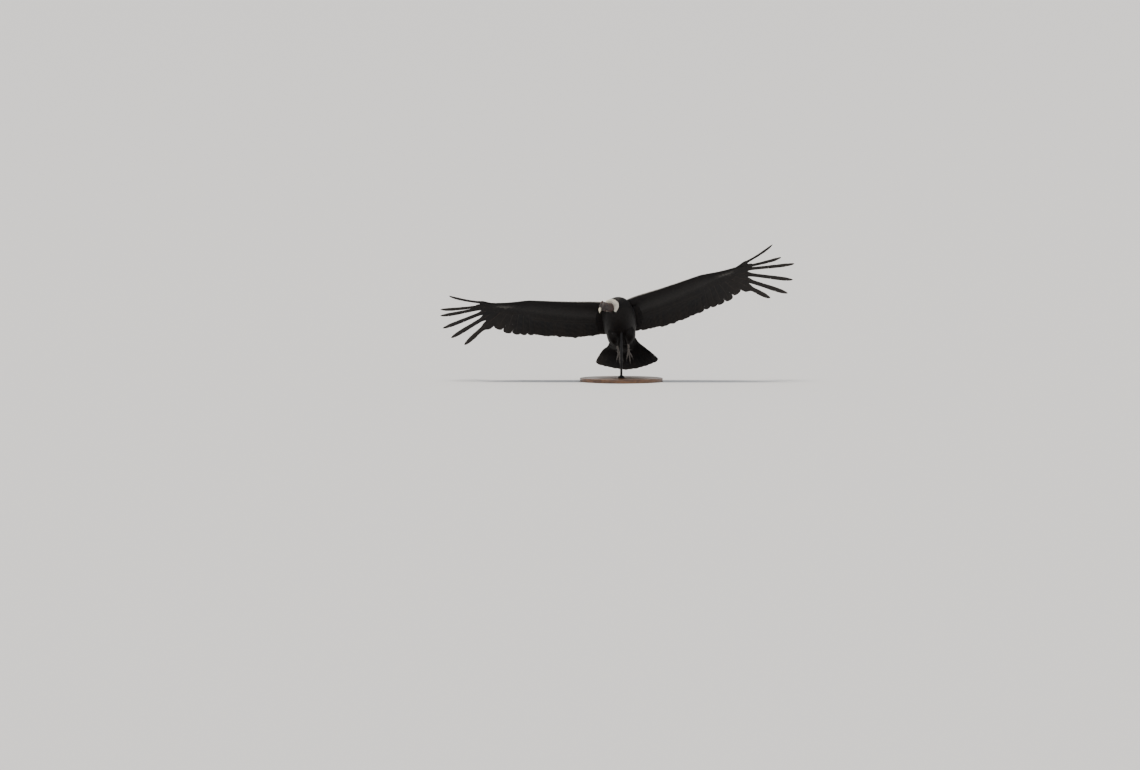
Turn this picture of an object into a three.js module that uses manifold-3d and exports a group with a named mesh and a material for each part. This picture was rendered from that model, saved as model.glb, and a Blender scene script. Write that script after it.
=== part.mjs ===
// Andean condor, adult male, soaring with its wing tips spread, as a life-size museum model on a stand.
// Millimetres, +Z up, the floor at Z 0 and the middle of the stand's base at the origin.
// The bird's own frame, which one turned group places, has +X to its left, +Y towards its tail and
// +Z out of its back. Its origin is inside the breast, above the middle of the base.
import * as THREE from "three";
import { mergeVertices } from "three/addons/utils/BufferGeometryUtils.js";
import Module from "manifold-3d";

const wasm = await Module();
wasm.setup();

// Driving dimensions
const WING_SPAN = 2920; // tip to tip, as held in the soar
const BODY_WIDTH = 264;
const BODY_DEPTH = 222;
const TAIL_LENGTH = 333;
const HEAD_LENGTH = 160; // bill tip to the back of the skull
const PITCH = 44; // degrees, nose up on the stand
const BANK = 8.4; // degrees, left wing up
const BREAST_HEIGHT = 520; // the bird's origin above the floor
const BREAST_PLACE = [-19, 28]; // and beside the middle of the base, so that the weight is over it
const GAP = 0.35; // left between neighbouring pieces

const HALF_SPAN = WING_SPAN / 2;
const RIGHT = -1; // the sign of X on each side
const LEFT = 1;
const SIDES = [
  ["left", LEFT],
  ["right", RIGHT],
];

// Small helpers
const vec = (x, y, z) => new THREE.Vector3(x, y, z);
const rad = THREE.MathUtils.degToRad;
const { lerp, clamp, smoothstep } = THREE.MathUtils;

// A seeded draw between -1 and 1, so that every run gives the same bird.
function drawFrom(seed) {
  let state = seed;
  return () => {
    state = (state * 1664525 + 1013904223) % 4294967296;
    return (state / 4294967296) * 2 - 1;
  };
}

// A smooth function through a short table of [place, value] pairs.
function through(table) {
  const at = (i) => table[clamp(i, 0, table.length - 1)];
  const slope = (i) => (at(i + 1)[1] - at(i - 1)[1]) / (at(i + 1)[0] - at(i - 1)[0]);
  return (x) => {
    const place = clamp(x, table[0][0], table.at(-1)[0]);
    const i = Math.max(1, table.findIndex(([x0]) => x0 >= place));
    const [[x0, y0], [x1, y1]] = [table[i - 1], table[i]];
    const h = x1 - x0;
    const t = (place - x0) / h;
    return (
      y0 * (1 + 2 * t) * (1 - t) ** 2 +
      slope(i - 1) * h * t * (1 - t) ** 2 +
      y1 * t * t * (3 - 2 * t) -
      slope(i) * h * t * t * (1 - t)
    );
  };
}

// A closed surface through rings of equally many points, with a flat fan at each end. Each face with
// four corners is split along one diagonal, and along the other where turned says so.
function loft(rings, turned = () => false) {
  const count = rings[0].length;
  const points = rings.flat();
  const faces = [];
  for (let i = 0; i + 1 < rings.length; i++)
    for (let j = 0; j < count; j++) {
      const a = i * count + j;
      const b = i * count + ((j + 1) % count);
      if (turned(j)) faces.push(a, b, a + count, b, b + count, a + count);
      else faces.push(a, b, b + count, a, b + count, a + count);
    }
  for (let j = 1; j + 1 < count; j++) {
    const end = (rings.length - 1) * count;
    faces.push(0, j + 1, j, end, end + j, end + j + 1);
  }
  const shape = new THREE.BufferGeometry().setFromPoints(points);
  shape.setIndex(faces);
  return shape;
}

function signedVolume(position, index) {
  const corner = (i) => new THREE.Vector3().fromBufferAttribute(position, index[i]);
  let sum = 0;
  for (let i = 0; i < index.length; i += 3) sum += corner(i).dot(corner(i + 1).cross(corner(i + 2)));
  return sum / 6;
}

// A closed three.js shape as a solid that can be cut and joined, with its faces turned outwards.
function solidOf(geometry) {
  const bare = new THREE.BufferGeometry();
  bare.setAttribute("position", geometry.getAttribute("position"));
  bare.setIndex(geometry.index);
  const merged = mergeVertices(bare, 1e-3);
  const triVerts = new Uint32Array(merged.index.array);
  if (signedVolume(merged.attributes.position, triVerts) < 0)
    for (let i = 0; i < triVerts.length; i += 3)
      [triVerts[i + 1], triVerts[i + 2]] = [triVerts[i + 2], triVerts[i + 1]];
  const vertProperties = merged.attributes.position.array;
  return new wasm.Manifold(new wasm.Mesh({ numProp: 3, vertProperties, triVerts }));
}

const join = (solids) => wasm.Manifold.union(solids);

// The largest closed body of a solid, without scraps or sealed hollows.
function largest(solid) {
  const bodies = solid.decompose();
  bodies.sort((a, b) => b.volume() - a.volume());
  return bodies[0];
}

function geometryOf(solid) {
  const { numProp, numVert, vertProperties, triVerts } = solid.getMesh();
  const points = Array.from({ length: numVert }, (_, i) =>
    vec(...vertProperties.slice(i * numProp, i * numProp + 3)),
  );
  const shape = new THREE.BufferGeometry().setFromPoints(points);
  shape.setIndex(Array.from(triVerts));
  return shape;
}

// The solid itself for the left side, its mirror image for the right
function onSide(solid, side) {
  if (side === LEFT) return solid;
  const shape = geometryOf(solid);
  shape.scale(-1, 1, 1);
  return solidOf(shape);
}

// A ring of points round a centre: half sizes to the side, above and below, along two unit axes.
function oval(centre, across, upward, half, above, below, count) {
  return Array.from({ length: count }, (_, i) => {
    const angle = (i / count) * 2 * Math.PI;
    const rise = Math.sin(angle);
    return centre
      .clone()
      .addScaledVector(across, half * Math.cos(angle))
      .addScaledVector(upward, rise * (rise > 0 ? above : below));
  });
}

// A tapering tube of oval rings along a smooth path. Sizes are a table of [share, half, above, below].
function limb(path, sizes, count, grow = 0, guide = vec(0, 0, 1)) {
  const curve = new THREE.CatmullRomCurve3(path);
  const rings = sizes.map(([share, half, above, below]) => {
    const tangent = curve.getTangentAt(share);
    const across = new THREE.Vector3().crossVectors(tangent, guide).normalize();
    const upward = new THREE.Vector3().crossVectors(across, tangent);
    return oval(curve.getPointAt(share), across, upward, half + grow, above + grow, below + grow, count);
  });
  return solidOf(loft(rings));
}

// Materials
const paint = (color, roughness, metalness = 0) =>
  new THREE.MeshStandardMaterial({ color, roughness, metalness });
const FEATHER = paint("#17171b", 0.75);
const WHITE_DOWN = paint("#ece8dc", 0.95);
const BARE_SKIN = paint("#4a3531", 0.6);
const COMB_SKIN = paint("#43302e", 0.55);
const IVORY_BILL = paint("#cfc6ae", 0.35);
const EYE_GLASS = paint("#2e1a12", 0.08);
const SCUTED_SKIN = paint("#5d5a58", 0.65);
const CLAW_HORN = paint("#26221f", 0.4);
const BASE_WOOD = paint("#5a3b25", 0.45);
const ROD_PAINT = paint("#101012", 0.4);

const meshes = [];
function part(name, solid, material) {
  const mesh = new THREE.Mesh(geometryOf(largest(solid.simplify(0.02))), material);
  mesh.name = name;
  meshes.push(mesh);
  return mesh;
}

// Torso
const TORSO_FRONT = -0.86 * BODY_WIDTH;
const TORSO_BACK = 1.1 * BODY_WIDTH;

// Torso rings from breast to rump: share of the length, then half width, height above and below
// the long axis as shares of the body's width and depth.
const TORSO_RINGS = [
  [0, 0.12, 0.09, 0.19],
  [0.035, 0.25, 0.21, 0.32],
  [0.11, 0.37, 0.33, 0.44],
  [0.24, 0.46, 0.42, 0.53],
  [0.43, 0.5, 0.45, 0.55],
  [0.6, 0.495, 0.42, 0.5],
  [0.76, 0.48, 0.35, 0.42],
  [0.9, 0.455, 0.27, 0.32],
  [1, 0.42, 0.21, 0.24],
];

function torsoSolid(grow = 0) {
  const rings = TORSO_RINGS.map(([share, half, above, below], i) => {
    const end = i === 0 ? -grow : i === TORSO_RINGS.length - 1 ? grow : 0;
    const centre = vec(0, lerp(TORSO_FRONT, TORSO_BACK, share) + end, 0);
    const sizes = [half * BODY_WIDTH, above * BODY_DEPTH, below * BODY_DEPTH].map((size) => size + grow);
    return oval(centre, vec(1, 0, 0), vec(0, 0, 1), ...sizes, 26);
  });
  return solidOf(loft(rings));
}

const torso = torsoSolid();
const torsoGrown = torsoSolid(GAP);

// Wing outline: places across the span, with the leading and trailing edges of the left wing
const SHOULDER_X = 0.066 * HALF_SPAN;
const ELBOW_X = 0.236 * HALF_SPAN;
const WRIST_X = 0.483 * HALF_SPAN;
const HAND_TIP_X = 0.7 * HALF_SPAN;
const INNER_X = 0.04 * HALF_SPAN;
const WING_CHORD = 445;
const SHOULDER_HEIGHT = 45;

// A function across the span from rows of [share of the half span, share of a size]
const acrossSpan = (size, rows) => through(rows.map(([x, value]) => [x * HALF_SPAN, value * size]));

const leadingEdge = acrossSpan(WING_CHORD, [
  [0.04, -0.32],
  [0.107, -0.373],
  [0.24, -0.411],
  [0.337, -0.445],
  [0.445, -0.49],
  [0.493, -0.503],
  [0.548, -0.485],
  [0.62, -0.464],
  [0.7, -0.46],
]);
const trailingEdge = acrossSpan(WING_CHORD, [
  [0.06, 0.52],
  [0.14, 0.558],
  [0.24, 0.59],
  [0.33, 0.565],
  [0.41, 0.515],
  [0.49, 0.465],
  [0.56, 0.445],
]);
// Where the muscle and small coverts end and the long feathers come out
const armRear = acrossSpan(WING_CHORD, [
  [0.04, 0.04],
  [0.14, 0],
  [0.24, -0.045],
  [0.36, -0.11],
  [0.48, -0.2],
  [0.55, -0.265],
  [0.62, -0.335],
  [0.67, -0.385],
  [0.7, -0.43],
]);
const ARM_DEPTH = 62;
const armThickness = acrossSpan(ARM_DEPTH, [
  [0.04, 1],
  [0.107, 0.94],
  [0.24, 0.74],
  [0.36, 0.61],
  [0.48, 0.5],
  [0.55, 0.4],
  [0.62, 0.29],
  [0.7, 0.16],
]);

const DIHEDRAL_SLOPE = 0.14;
const TIP_UPSWEEP = 8.4e-5; // extra rise per square millimetre beyond the wrist
const ARM_CAMBER = 20;

// Height of the wing's middle surface over a place in the bird's own plan
function wingHeight(x, y) {
  const rise = DIHEDRAL_SLOPE * (x - SHOULDER_X) + TIP_UPSWEEP * Math.max(0, x - WRIST_X) ** 2;
  const share = clamp((y - leadingEdge(x)) / WING_CHORD, 0, 1);
  const arch = ARM_CAMBER * smoothstep(-x, -HAND_TIP_X, -WRIST_X) * 4 * share * (1 - share);
  return SHOULDER_HEIGHT + rise + arch;
}

// One section of the wing's arm at a place across the span: round in front, blunt behind
const REAR_BLUNTNESS = 0.6;
const ARM_SECTION_STEPS = 6;
function armRing(x) {
  const front = leadingEdge(x);
  const half = armThickness(x) / 2;
  const surface = (share, face) => {
    const y = lerp(front, armRear(x), share);
    const bulge = 1.95 * Math.sqrt(share) * (1 - share) + REAR_BLUNTNESS * share;
    return vec(x, y, wingHeight(x, y) + face * half * bulge);
  };
  const shares = Array.from({ length: ARM_SECTION_STEPS }, (_, i) => (i / (ARM_SECTION_STEPS - 1)) ** 1.6);
  const upper = shares.slice(1).map((share) => surface(share, 1));
  const lower = shares.slice(1).map((share) => surface(share, -1));
  return [vec(x, front, wingHeight(x, front)), ...upper, ...lower.reverse()];
}

function armSolid(from, to, steps) {
  const places = Array.from({ length: steps + 1 }, (_, i) => lerp(from, to, i / steps));
  return solidOf(loft(places.map(armRing)));
}

// A flat feather along a straight line in plan, on a height surface. Its rows are
// [share of the length, width on the leading side, width on the trailing side]. Its lower face is
// split into triangles as its upper one is, so that a strongly curved vane doesn't cross itself.
const VANE_THICKNESS = 0.9;
function vane({ root, angle, length, rows, height, level = 0, tilt, ridge = 0, lift = 0, spine = false }) {
  const along = vec(Math.cos(rad(angle)), Math.sin(rad(angle)), 0);
  const leading = vec(along.y, -along.x, 0);
  const rings = rows.map(([share, lead, trail]) => {
    const shaft = root.clone().addScaledVector(along, share * length);
    const raised = level + lift * Math.max(0, (share - 0.35) / 0.65) ** 2;
    const point = (offset, over) => {
      const p = shaft.clone().addScaledVector(leading, offset);
      return p.setZ(height(p.x, p.y) + raised + tilt * offset + over);
    };
    const half = VANE_THICKNESS / 2;
    const ring = [point(-trail, half), point(lead, half), point(lead, -half), point(-trail, -half)];
    if (ridge > 0) ring.splice(3, 0, point(0, -half - ridge * (1 - share)));
    if (spine) ring.splice(1, 0, point(0, half));
    return ring;
  });
  const firstBelow = spine ? 3 : 2;
  return solidOf(loft(rings, (j) => j >= firstBelow && j < rings[0].length - 1));
}

// Rows of a vane whose root is sunk over a share of its length and whose end is bluntly rounded
const bluntRows = (half, sunk) => [
  [0, 5, 5],
  [sunk * 0.55, half * 0.94, half],
  [0.62, half * 0.94, half],
  [0.92, half * 0.74, half * 0.8],
  [1, half * 0.3, half * 0.36],
];

// Long feathers of the wing's arm, each with one covert above its root and one below
const SHINGLE_TILT = 0.085; // each feather's leading edge lies above the next one's trailing edge
const COVERT_LEVEL = 5;
const ROOT_SINK = 40;
const ARM_FEATHER_STEP = 36;
const ARM_FEATHER_HALF = 31;
const FOREARM_FEATHERS = 10;
const UPPER_ARM_FEATHERS = 6;
const COVERT_HALF = 27;
const UPPER_COVERT_REACH = 0.46;
const UNDER_COVERT_REACH = 0.34;

function armFeathers(x, side, draw) {
  const rear = armRear(x);
  const reach = (trailingEdge(x) - rear) * (1 + 0.03 * side);
  const tier = (share, half, level, ridge) => {
    const length = ROOT_SINK + reach * share * (1 + 0.02 * draw());
    const rows = bluntRows(half, ROOT_SINK / length);
    if (level !== 0) rows.splice(2, 1);
    const root = vec(x, rear - ROOT_SINK, 0);
    return vane({ root, angle: 90, length, rows, height: wingHeight, level, tilt: SHINGLE_TILT, ridge });
  };
  return [
    tier(1, ARM_FEATHER_HALF, 0, 1.4),
    tier(UPPER_COVERT_REACH, COVERT_HALF, COVERT_LEVEL),
    tier(UNDER_COVERT_REACH, COVERT_HALF, -COVERT_LEVEL),
  ];
}

// Hand feathers, from the wrist out: five that close the wing's trailing edge, then six free fingers.
// Tips are [share of the half span, share of the chord], as each hand holds them in the photo.
const INNER_TIPS = [
  [0.507, 0.46],
  [0.549, 0.45],
  [0.59, 0.43],
  [0.632, 0.39],
  [0.682, 0.32],
];
const FINGER_TIPS = {
  [LEFT]: [
    [0.873, 0.654],
    [0.977, 0.69],
    [1.013, 0.384],
    [1.029, -0.013],
    [0.955, -0.283],
    [0.912, -0.672],
  ],
  [RIGHT]: [
    [0.893, 0.717],
    [0.961, 0.535],
    [0.997, 0.279],
    [0.998, -0.047],
    [0.991, -0.2],
    [0.928, -0.56],
  ],
};
const FINGER_LIFTS = [0, 2, 6, 14, 24, 36];
const FREE_X = 0.752 * HALF_SPAN; // where the fingers part
// The row of the hand feathers' roots, from the innermost to the outermost
const HAND_ROOT_X = [WRIST_X + 14, HAND_TIP_X - 21];
const HAND_ROOT_Y = [-0.415, -0.447]; // shares of the chord
const FINGER_HALF = 41;
const OUTERMOST_HALF = 26;
const FINGER_SLIM = [23, 22, 21, 20, 19, 15];
const HAND_COVERTS = 6;

function handFeather(i, side) {
  const finger = i - INNER_TIPS.length;
  const tips = [...INNER_TIPS, ...FINGER_TIPS[side]];
  const last = tips.length - 1;
  const share = i / last;
  const root = vec(lerp(...HAND_ROOT_X, share), WING_CHORD * lerp(...HAND_ROOT_Y, share), 0);
  const tip = vec(tips[i][0] * HALF_SPAN, tips[i][1] * WING_CHORD, 0);
  const length = root.distanceTo(tip);
  const angle = THREE.MathUtils.radToDeg(Math.atan2(tip.y - root.y, tip.x - root.x));
  return { root, angle, length, finger, height: wingHeight, tilt: SHINGLE_TILT };
}

// Wide where its neighbours cover it, then slim from the notch in its web to the tip
function fingerRows({ root, angle, length, finger }) {
  const free = (FREE_X - root.x) / Math.cos(rad(angle)) / length;
  const slim = FINGER_SLIM[finger];
  const outermost = finger === FINGER_SLIM.length - 1;
  const half = outermost ? OUTERMOST_HALF : FINGER_HALF;
  return [
    [0, 4, 4],
    [0.09, 7, 7],
    [free * 0.5, half * 0.6, half],
    [free - 0.07, half * 0.7, half],
    [free + 0.03, slim * 0.85, slim],
    [0.8, slim * 0.85, slim],
    [0.95, slim * 0.5, slim * 0.6],
    [1, 2, 2.5],
  ];
}

function handFeathers(i, side) {
  const feather = handFeather(i, side);
  const { length, finger } = feather;
  if (finger >= 0) {
    const lift = FINGER_LIFTS[finger];
    return [vane({ ...feather, rows: fingerRows(feather), ridge: 1.8, lift })];
  }
  const half = lerp(34, 44, i / INNER_TIPS.length);
  return [vane({ ...feather, rows: bluntRows(half, 50 / length), ridge: 1.4 })];
}

function handCoverts(i, side) {
  const feather = handFeather(i, side);
  const level = lerp(0.9, 0.62, i / HAND_COVERTS) * COVERT_LEVEL;
  const tier = (reach, sign) => {
    const rows = bluntRows(25, 60 / reach);
    rows.splice(2, 1);
    return vane({ ...feather, length: reach, rows, level: sign * level });
  };
  return [tier(185, 1), tier(150, -1)];
}

// The three lengths of one wing, each cut flat where it meets the next
function buildWing(side, draw) {
  const half = GAP / 2;
  const each = (count, make) => Array.from({ length: count }, (_, i) => make(i)).flat();
  const armRow = (count, from) =>
    each(count, (i) => armFeathers(from + ARM_FEATHER_STEP * (i + 0.5), side, draw));
  const between = (solid, from, to) => solid.trimByPlane([1, 0, 0], from).trimByPlane([-1, 0, 0], -to);
  const upperArm = join([
    armSolid(INNER_X, ELBOW_X - half, 5),
    ...armRow(UPPER_ARM_FEATHERS, ELBOW_X - UPPER_ARM_FEATHERS * ARM_FEATHER_STEP),
  ]);
  const forearm = join([
    armSolid(ELBOW_X + half, WRIST_X - half, 6),
    ...armRow(FOREARM_FEATHERS, ELBOW_X),
  ]);
  const hand = join([
    armSolid(WRIST_X + half, HAND_TIP_X, 5),
    ...each(INNER_TIPS.length + FINGER_TIPS[side].length, (i) => handFeathers(i, side)),
    ...each(HAND_COVERTS, (i) => handCoverts(i, side)),
  ]);
  return {
    upper_arm: between(upperArm, INNER_X, ELBOW_X - half),
    forearm: between(forearm, ELBOW_X + half, WRIST_X - half),
    hand: between(hand, WRIST_X + half, WING_SPAN),
  };
}

for (const [name, side] of SIDES) {
  const wing = buildWing(side, drawFrom(side === LEFT ? 11 : 23));
  for (const piece of ["upper_arm", "forearm", "hand"])
    part(`wing_${name}_${piece}`, onSide(wing[piece], side).subtract(torsoGrown), FEATHER);
}

// Tail: a fleshy root behind the rump, with the fan of feathers spread from it
const TAIL_DROP = 0.0875; // slope of the tail below the body's axis
const TAIL_TWIST = -0.186; // the tail stays level while the body banks
const TAIL_DOME = 1.6e-4;
const TAIL_TURN = 3; // degrees, towards the bird's left
const TAIL_FEATHERS = 12;
const TAIL_COVERTS = 5;
const TAIL_SPREAD = 41; // degrees to each side
const TAIL_TILT = 0.07; // each feather's outer edge lies above the next one's inner edge
const TAIL_COVERT_LEVEL = 8;

function tailHeight(x, y) {
  const back = y - TORSO_BACK;
  const twist = TAIL_TWIST * x * smoothstep(back, 0, 90);
  return -TAIL_DROP * back + twist - TAIL_DOME * x * x;
}

const tailMiddle = (back) => Math.max(0, back) * Math.tan(rad(TAIL_TURN));

function tailRoot() {
  const rings = [
    [GAP, 0.4, 0.19, 0.21],
    [40, 0.365, 0.135, 0.15],
    [78, 0.3, 0.07, 0.08],
    [104, 0.18, 0.03, 0.035],
  ].map(([back, half, above, below]) => {
    const x = tailMiddle(back);
    const y = TORSO_BACK + back;
    const twist = smoothstep(back, 0, 90) * TAIL_TWIST;
    const sizes = [half * BODY_WIDTH, above * BODY_DEPTH, below * BODY_DEPTH];
    return oval(vec(x, y, tailHeight(x, y)), vec(1, 0, twist), vec(0, 0, 1), ...sizes, 18);
  });
  return solidOf(loft(rings));
}

// A feather of the fan: its place runs from -1 on the bird's right to 1 on its left
function fanFeather(place, { back, spread, length, rows, level, ridge }) {
  const side = Math.sign(place);
  return vane({
    root: vec(place * spread + tailMiddle(back), TORSO_BACK + back - 6 * Math.abs(place), 0),
    angle: 90 - TAIL_TURN - TAIL_SPREAD * place,
    length,
    rows,
    height: tailHeight,
    level,
    tilt: TAIL_TILT * side,
    ridge,
    spine: ridge > 0,
  });
}

function tailFeather(i, draw) {
  const place = (2 * i) / (TAIL_FEATHERS - 1) - 1;
  return fanFeather(place, {
    back: 20,
    spread: 48,
    length: TAIL_LENGTH * (0.93 - 0.07 * Math.abs(place)) * (1 + 0.01 * draw()),
    rows: [
      [0, 6, 6],
      [0.1, 10, 10],
      [0.2, 29, 29],
      [0.4, 32, 32],
      [0.6, 34, 34],
      [0.92, 30, 30],
      [1, 12, 12],
    ],
    level: place > 0 ? 3 : 0,
    ridge: 1.6,
  });
}

function tailCovert(i, face, draw) {
  const place = 0.72 * ((2 * i) / (TAIL_COVERTS - 1) - 1);
  return fanFeather(place, {
    back: 30,
    spread: 62,
    length: 0.42 * TAIL_LENGTH * (1 + 0.03 * draw()),
    rows: [
      [0, 6, 6],
      [0.3, 22, 22],
      [0.85, 24, 24],
      [1, 9, 9],
    ],
    level: face * TAIL_COVERT_LEVEL + (place > 0 ? 1.5 : 0) + (place === 0 ? 3 : 0),
    ridge: 0,
  });
}

function buildTail(draw) {
  const each = (count, make) => Array.from({ length: count }, (_, i) => make(i));
  return join([
    tailRoot(),
    ...each(TAIL_FEATHERS, (i) => tailFeather(i, draw)),
    ...each(TAIL_COVERTS, (i) => tailCovert(i, 1, draw)),
    ...each(TAIL_COVERTS, (i) => tailCovert(i, -1, draw)),
  ]);
}
part("tail", buildTail(drawFrom(5)).subtract(torsoGrown), FEATHER);

// Head, in its own frame: +X to the bird's left, +Y to the back of the skull, +Z out of the crown
const HEAD_PLACE = vec(-117, -301, -119);
const HEAD_FORWARD = vec(-0.39, -0.555, -0.734).normalize();
const HEAD_UP_HINT = vec(-0.076, -0.775, 0.627);
const HEAD_SCALE = HEAD_LENGTH / 160; // the head's own sizes are written for a length of 160

const headBack = HEAD_FORWARD.clone().negate();
const headLeft = new THREE.Vector3().crossVectors(headBack, HEAD_UP_HINT).normalize();
const headUp = new THREE.Vector3().crossVectors(headLeft, headBack);
const headMatrix = new THREE.Matrix4()
  .makeBasis(headLeft, headBack, headUp)
  .scale(vec(HEAD_SCALE, HEAD_SCALE, HEAD_SCALE))
  .setPosition(HEAD_PLACE);

// Head rings: y, half width, above, below, height of the middle
const HEAD_RINGS = [
  [62, 20, 24, 24, -12],
  [54, 26, 30, 30, -10],
  [36, 30, 35, 34, -7],
  [16, 31, 36, 34, -4],
  [-4, 29, 34, 31, -3],
  [-22, 24, 28, 26, -5],
  [-38, 18.5, 22, 21, -7],
  [-50, 15.5, 18, 17, -8],
];

// A closed body through oval rings set along the head, grown outwards and at both ends if asked
function lengthwise(table, count, grow = 0) {
  const forwards = Math.sign(table.at(-1)[0] - table[0][0]);
  const rings = table.map(([y, half, above, below, middle], i) => {
    const end = i === 0 ? -grow : i === table.length - 1 ? grow : 0;
    const sizes = [half, above, below].map((size) => size + grow);
    return oval(vec(0, y + forwards * end, middle), vec(1, 0, 0), vec(0, 0, 1), ...sizes, count);
  });
  return solidOf(loft(rings));
}

const headSolid = (grow = 0) => lengthwise(HEAD_RINGS, 20, grow);

const ball = (radius, stretch, place, across = 12, down = 8) => {
  const shape = new THREE.SphereGeometry(radius, across, down);
  shape.scale(...stretch.toArray());
  shape.translate(...place.toArray());
  return solidOf(shape);
};

const EYE_RADIUS = 9;
const eyePlace = (side) => vec(side * 20.5, -8, 6);
const EAR_PLACE = vec(30, 20, -6);
const EAR_HALF_SIZES = vec(7, 6.5, 4.5);

function eyelid(side) {
  const ring = new THREE.TorusGeometry(9.2, 2.3, 6, 14);
  ring.scale(1.08, 0.92, 0.8);
  ring.rotateY(side * rad(78));
  ring.translate(side * 26.6, -8.6, 6);
  return solidOf(ring);
}

// The line of the mouth: a thin wedge sunk into each cheek
function mouthLine(side) {
  const outline = new THREE.Shape();
  outline.moveTo(-52, -13.5);
  outline.quadraticCurveTo(-32, -13, -12, -19);
  outline.lineTo(-12.5, -21);
  outline.quadraticCurveTo(-32, -15.6, -52, -15.8);
  const slot = new THREE.ExtrudeGeometry(outline, { depth: 40, bevelEnabled: false, curveSegments: 5 });
  // The extrusion runs along its own Z: turn it to run across the head.
  slot.applyMatrix4(new THREE.Matrix4().makeBasis(vec(0, 1, 0), vec(0, 0, 1), vec(1, 0, 0)));
  slot.translate(side > 0 ? 14 : -54, 0, 0);
  return solidOf(slot);
}

// The hanging fold of skin under the throat
function wattle(grow = 0) {
  const path = [vec(0, -24, -27), vec(0, 4, -37), vec(0, 34, -41), vec(0, 58, -34)];
  const sizes = [
    [0, 2, 4, 3],
    [0.35, 4, 8, 8],
    [0.7, 4.5, 9, 7],
    [1, 3, 7, 3],
  ];
  return limb(path, sizes, 8, grow);
}

function buildHead() {
  let head = join([headSolid(), wattle(), ...SIDES.map(([, side]) => eyelid(side))]);
  for (const [, side] of SIDES) {
    const ear = EAR_PLACE.clone().setX(side * EAR_PLACE.x);
    head = head.subtract(ball(EYE_RADIUS + GAP, vec(1, 1, 1), eyePlace(side)));
    head = head.subtract(ball(1, EAR_HALF_SIZES, ear, 10, 7));
    head = head.subtract(mouthLine(side));
  }
  return head;
}

// The comb: a fleshy crest from the bill's base over the crown, with low lobes along its top
const COMB_RINGS = [
  [-60, 4, 6, 2, 8],
  [-52, 6, 14, 6, 9],
  [-38, 7, 21, 10, 12],
  [-24, 7.5, 19, 12, 19],
  [-10, 7.5, 22, 12, 23],
  [4, 7, 17, 12, 27],
  [16, 6, 15, 12, 27],
  [25, 4.5, 9, 10, 26],
  [32, 2.5, 3, 6, 24],
];

// Bill: the hooked upper half and the shorter lower half, from the face to their tips
const BILL_START = -50 - GAP;
const BILL_UPPER_RINGS = [
  [BILL_START, 14, 15, 6, -6],
  [-60, 12.5, 14, 7.5, -6.5],
  [-72, 10.5, 13.5, 8, -7.5],
  [-84, 8.5, 12, 10, -10.5],
  [-93, 6, 8.5, 14, -15],
  [-97, 3.2, 5, 12, -24],
  [-96.5, 1.4, 2, 5, -33],
];
const BILL_LOWER_RINGS = [
  [BILL_START, 12.5, 2.2, 7, -17],
  [-62, 10.5, 2, 6.5, -18],
  [-74, 8, 1.6, 5.5, -20.5],
  [-84, 5, 1, 3.5, -24],
  [-88, 2, 0.6, 1.5, -26],
];
const billUpper = (grow = 0) => lengthwise(BILL_UPPER_RINGS, 12, grow);

const NOSTRIL_PLACE = vec(0, -57, 1);
const nostril = () => ball(1, vec(20, 4.2, 2.4), NOSTRIL_PLACE, 8, 8);

const headPieces = [
  ["head", buildHead(), BARE_SKIN],
  ["comb", lengthwise(COMB_RINGS, 12).subtract(headSolid(GAP)).subtract(billUpper(GAP)), COMB_SKIN],
  ["bill_upper", billUpper().subtract(nostril()), IVORY_BILL],
  ["bill_lower", lengthwise(BILL_LOWER_RINGS, 12).subtract(billUpper(GAP)), IVORY_BILL],
  ["eye_left", ball(EYE_RADIUS, vec(1, 1, 1), eyePlace(LEFT)), EYE_GLASS],
  ["eye_right", ball(EYE_RADIUS, vec(1, 1, 1), eyePlace(RIGHT)), EYE_GLASS],
];
const headGroup = new THREE.Group();
headGroup.applyMatrix4(headMatrix);
for (const [name, solid, material] of headPieces) headGroup.add(part(name, solid, material));

// The skull and its throat fold, moved from the head's frame to the bird's
function headInBirdFrame(grow) {
  const shape = geometryOf(join([headSolid(grow), wattle(grow)]));
  shape.applyMatrix4(headMatrix);
  return solidOf(shape);
}

// Neck: bare skin from the breast, through the ruff, to the back of the head
const NECK_PATH = [
  vec(-12, -120, -8),
  vec(-36, -182, -44),
  vec(-57, -215, -66),
  vec(-82, -243, -84),
  vec(-104, -272, -107),
];
const NECK_SIZES = [
  [0, 44, 40, 46],
  [0.3, 42, 38, 44],
  [0.5, 38, 36, 39],
  [0.6, 34.5, 34, 36],
  [0.66, 36, 35, 38],
  [0.74, 32, 32, 34],
  [0.82, 33, 33, 35],
  [0.9, 29, 29, 31],
  [1, 26, 26, 28],
];
const neckSolid = (grow = 0) => limb(NECK_PATH, NECK_SIZES, 16, grow);
part("neck", neckSolid().subtract(torsoGrown).subtract(headInBirdFrame(GAP)), BARE_SKIN);

// Ruff: a collar of down round the neck's base, open at the throat
const RUFF_CENTRE = vec(-57, -215, -66);
const RUFF_AXIS = vec(-0.55, -0.68, -0.48).normalize();
const RUFF_RADIUS = 47;
const RUFF_CORE = 9.5;
const RUFF_SWEEP = 140; // degrees from the nape to each end
const RUFF_LOCKS = 10;
const LOCK_LENGTH = 30;
const ruffAcross = new THREE.Vector3().crossVectors(RUFF_AXIS, vec(0, 0, 1)).normalize().negate();
const ruffUp = new THREE.Vector3().crossVectors(RUFF_AXIS, ruffAcross).normalize();

// The way out from the neck's middle, at an angle from the nape
const ruffOut = (angle) =>
  ruffUp
    .clone()
    .multiplyScalar(Math.cos(rad(angle)))
    .addScaledVector(ruffAcross, Math.sin(rad(angle)));

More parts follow.
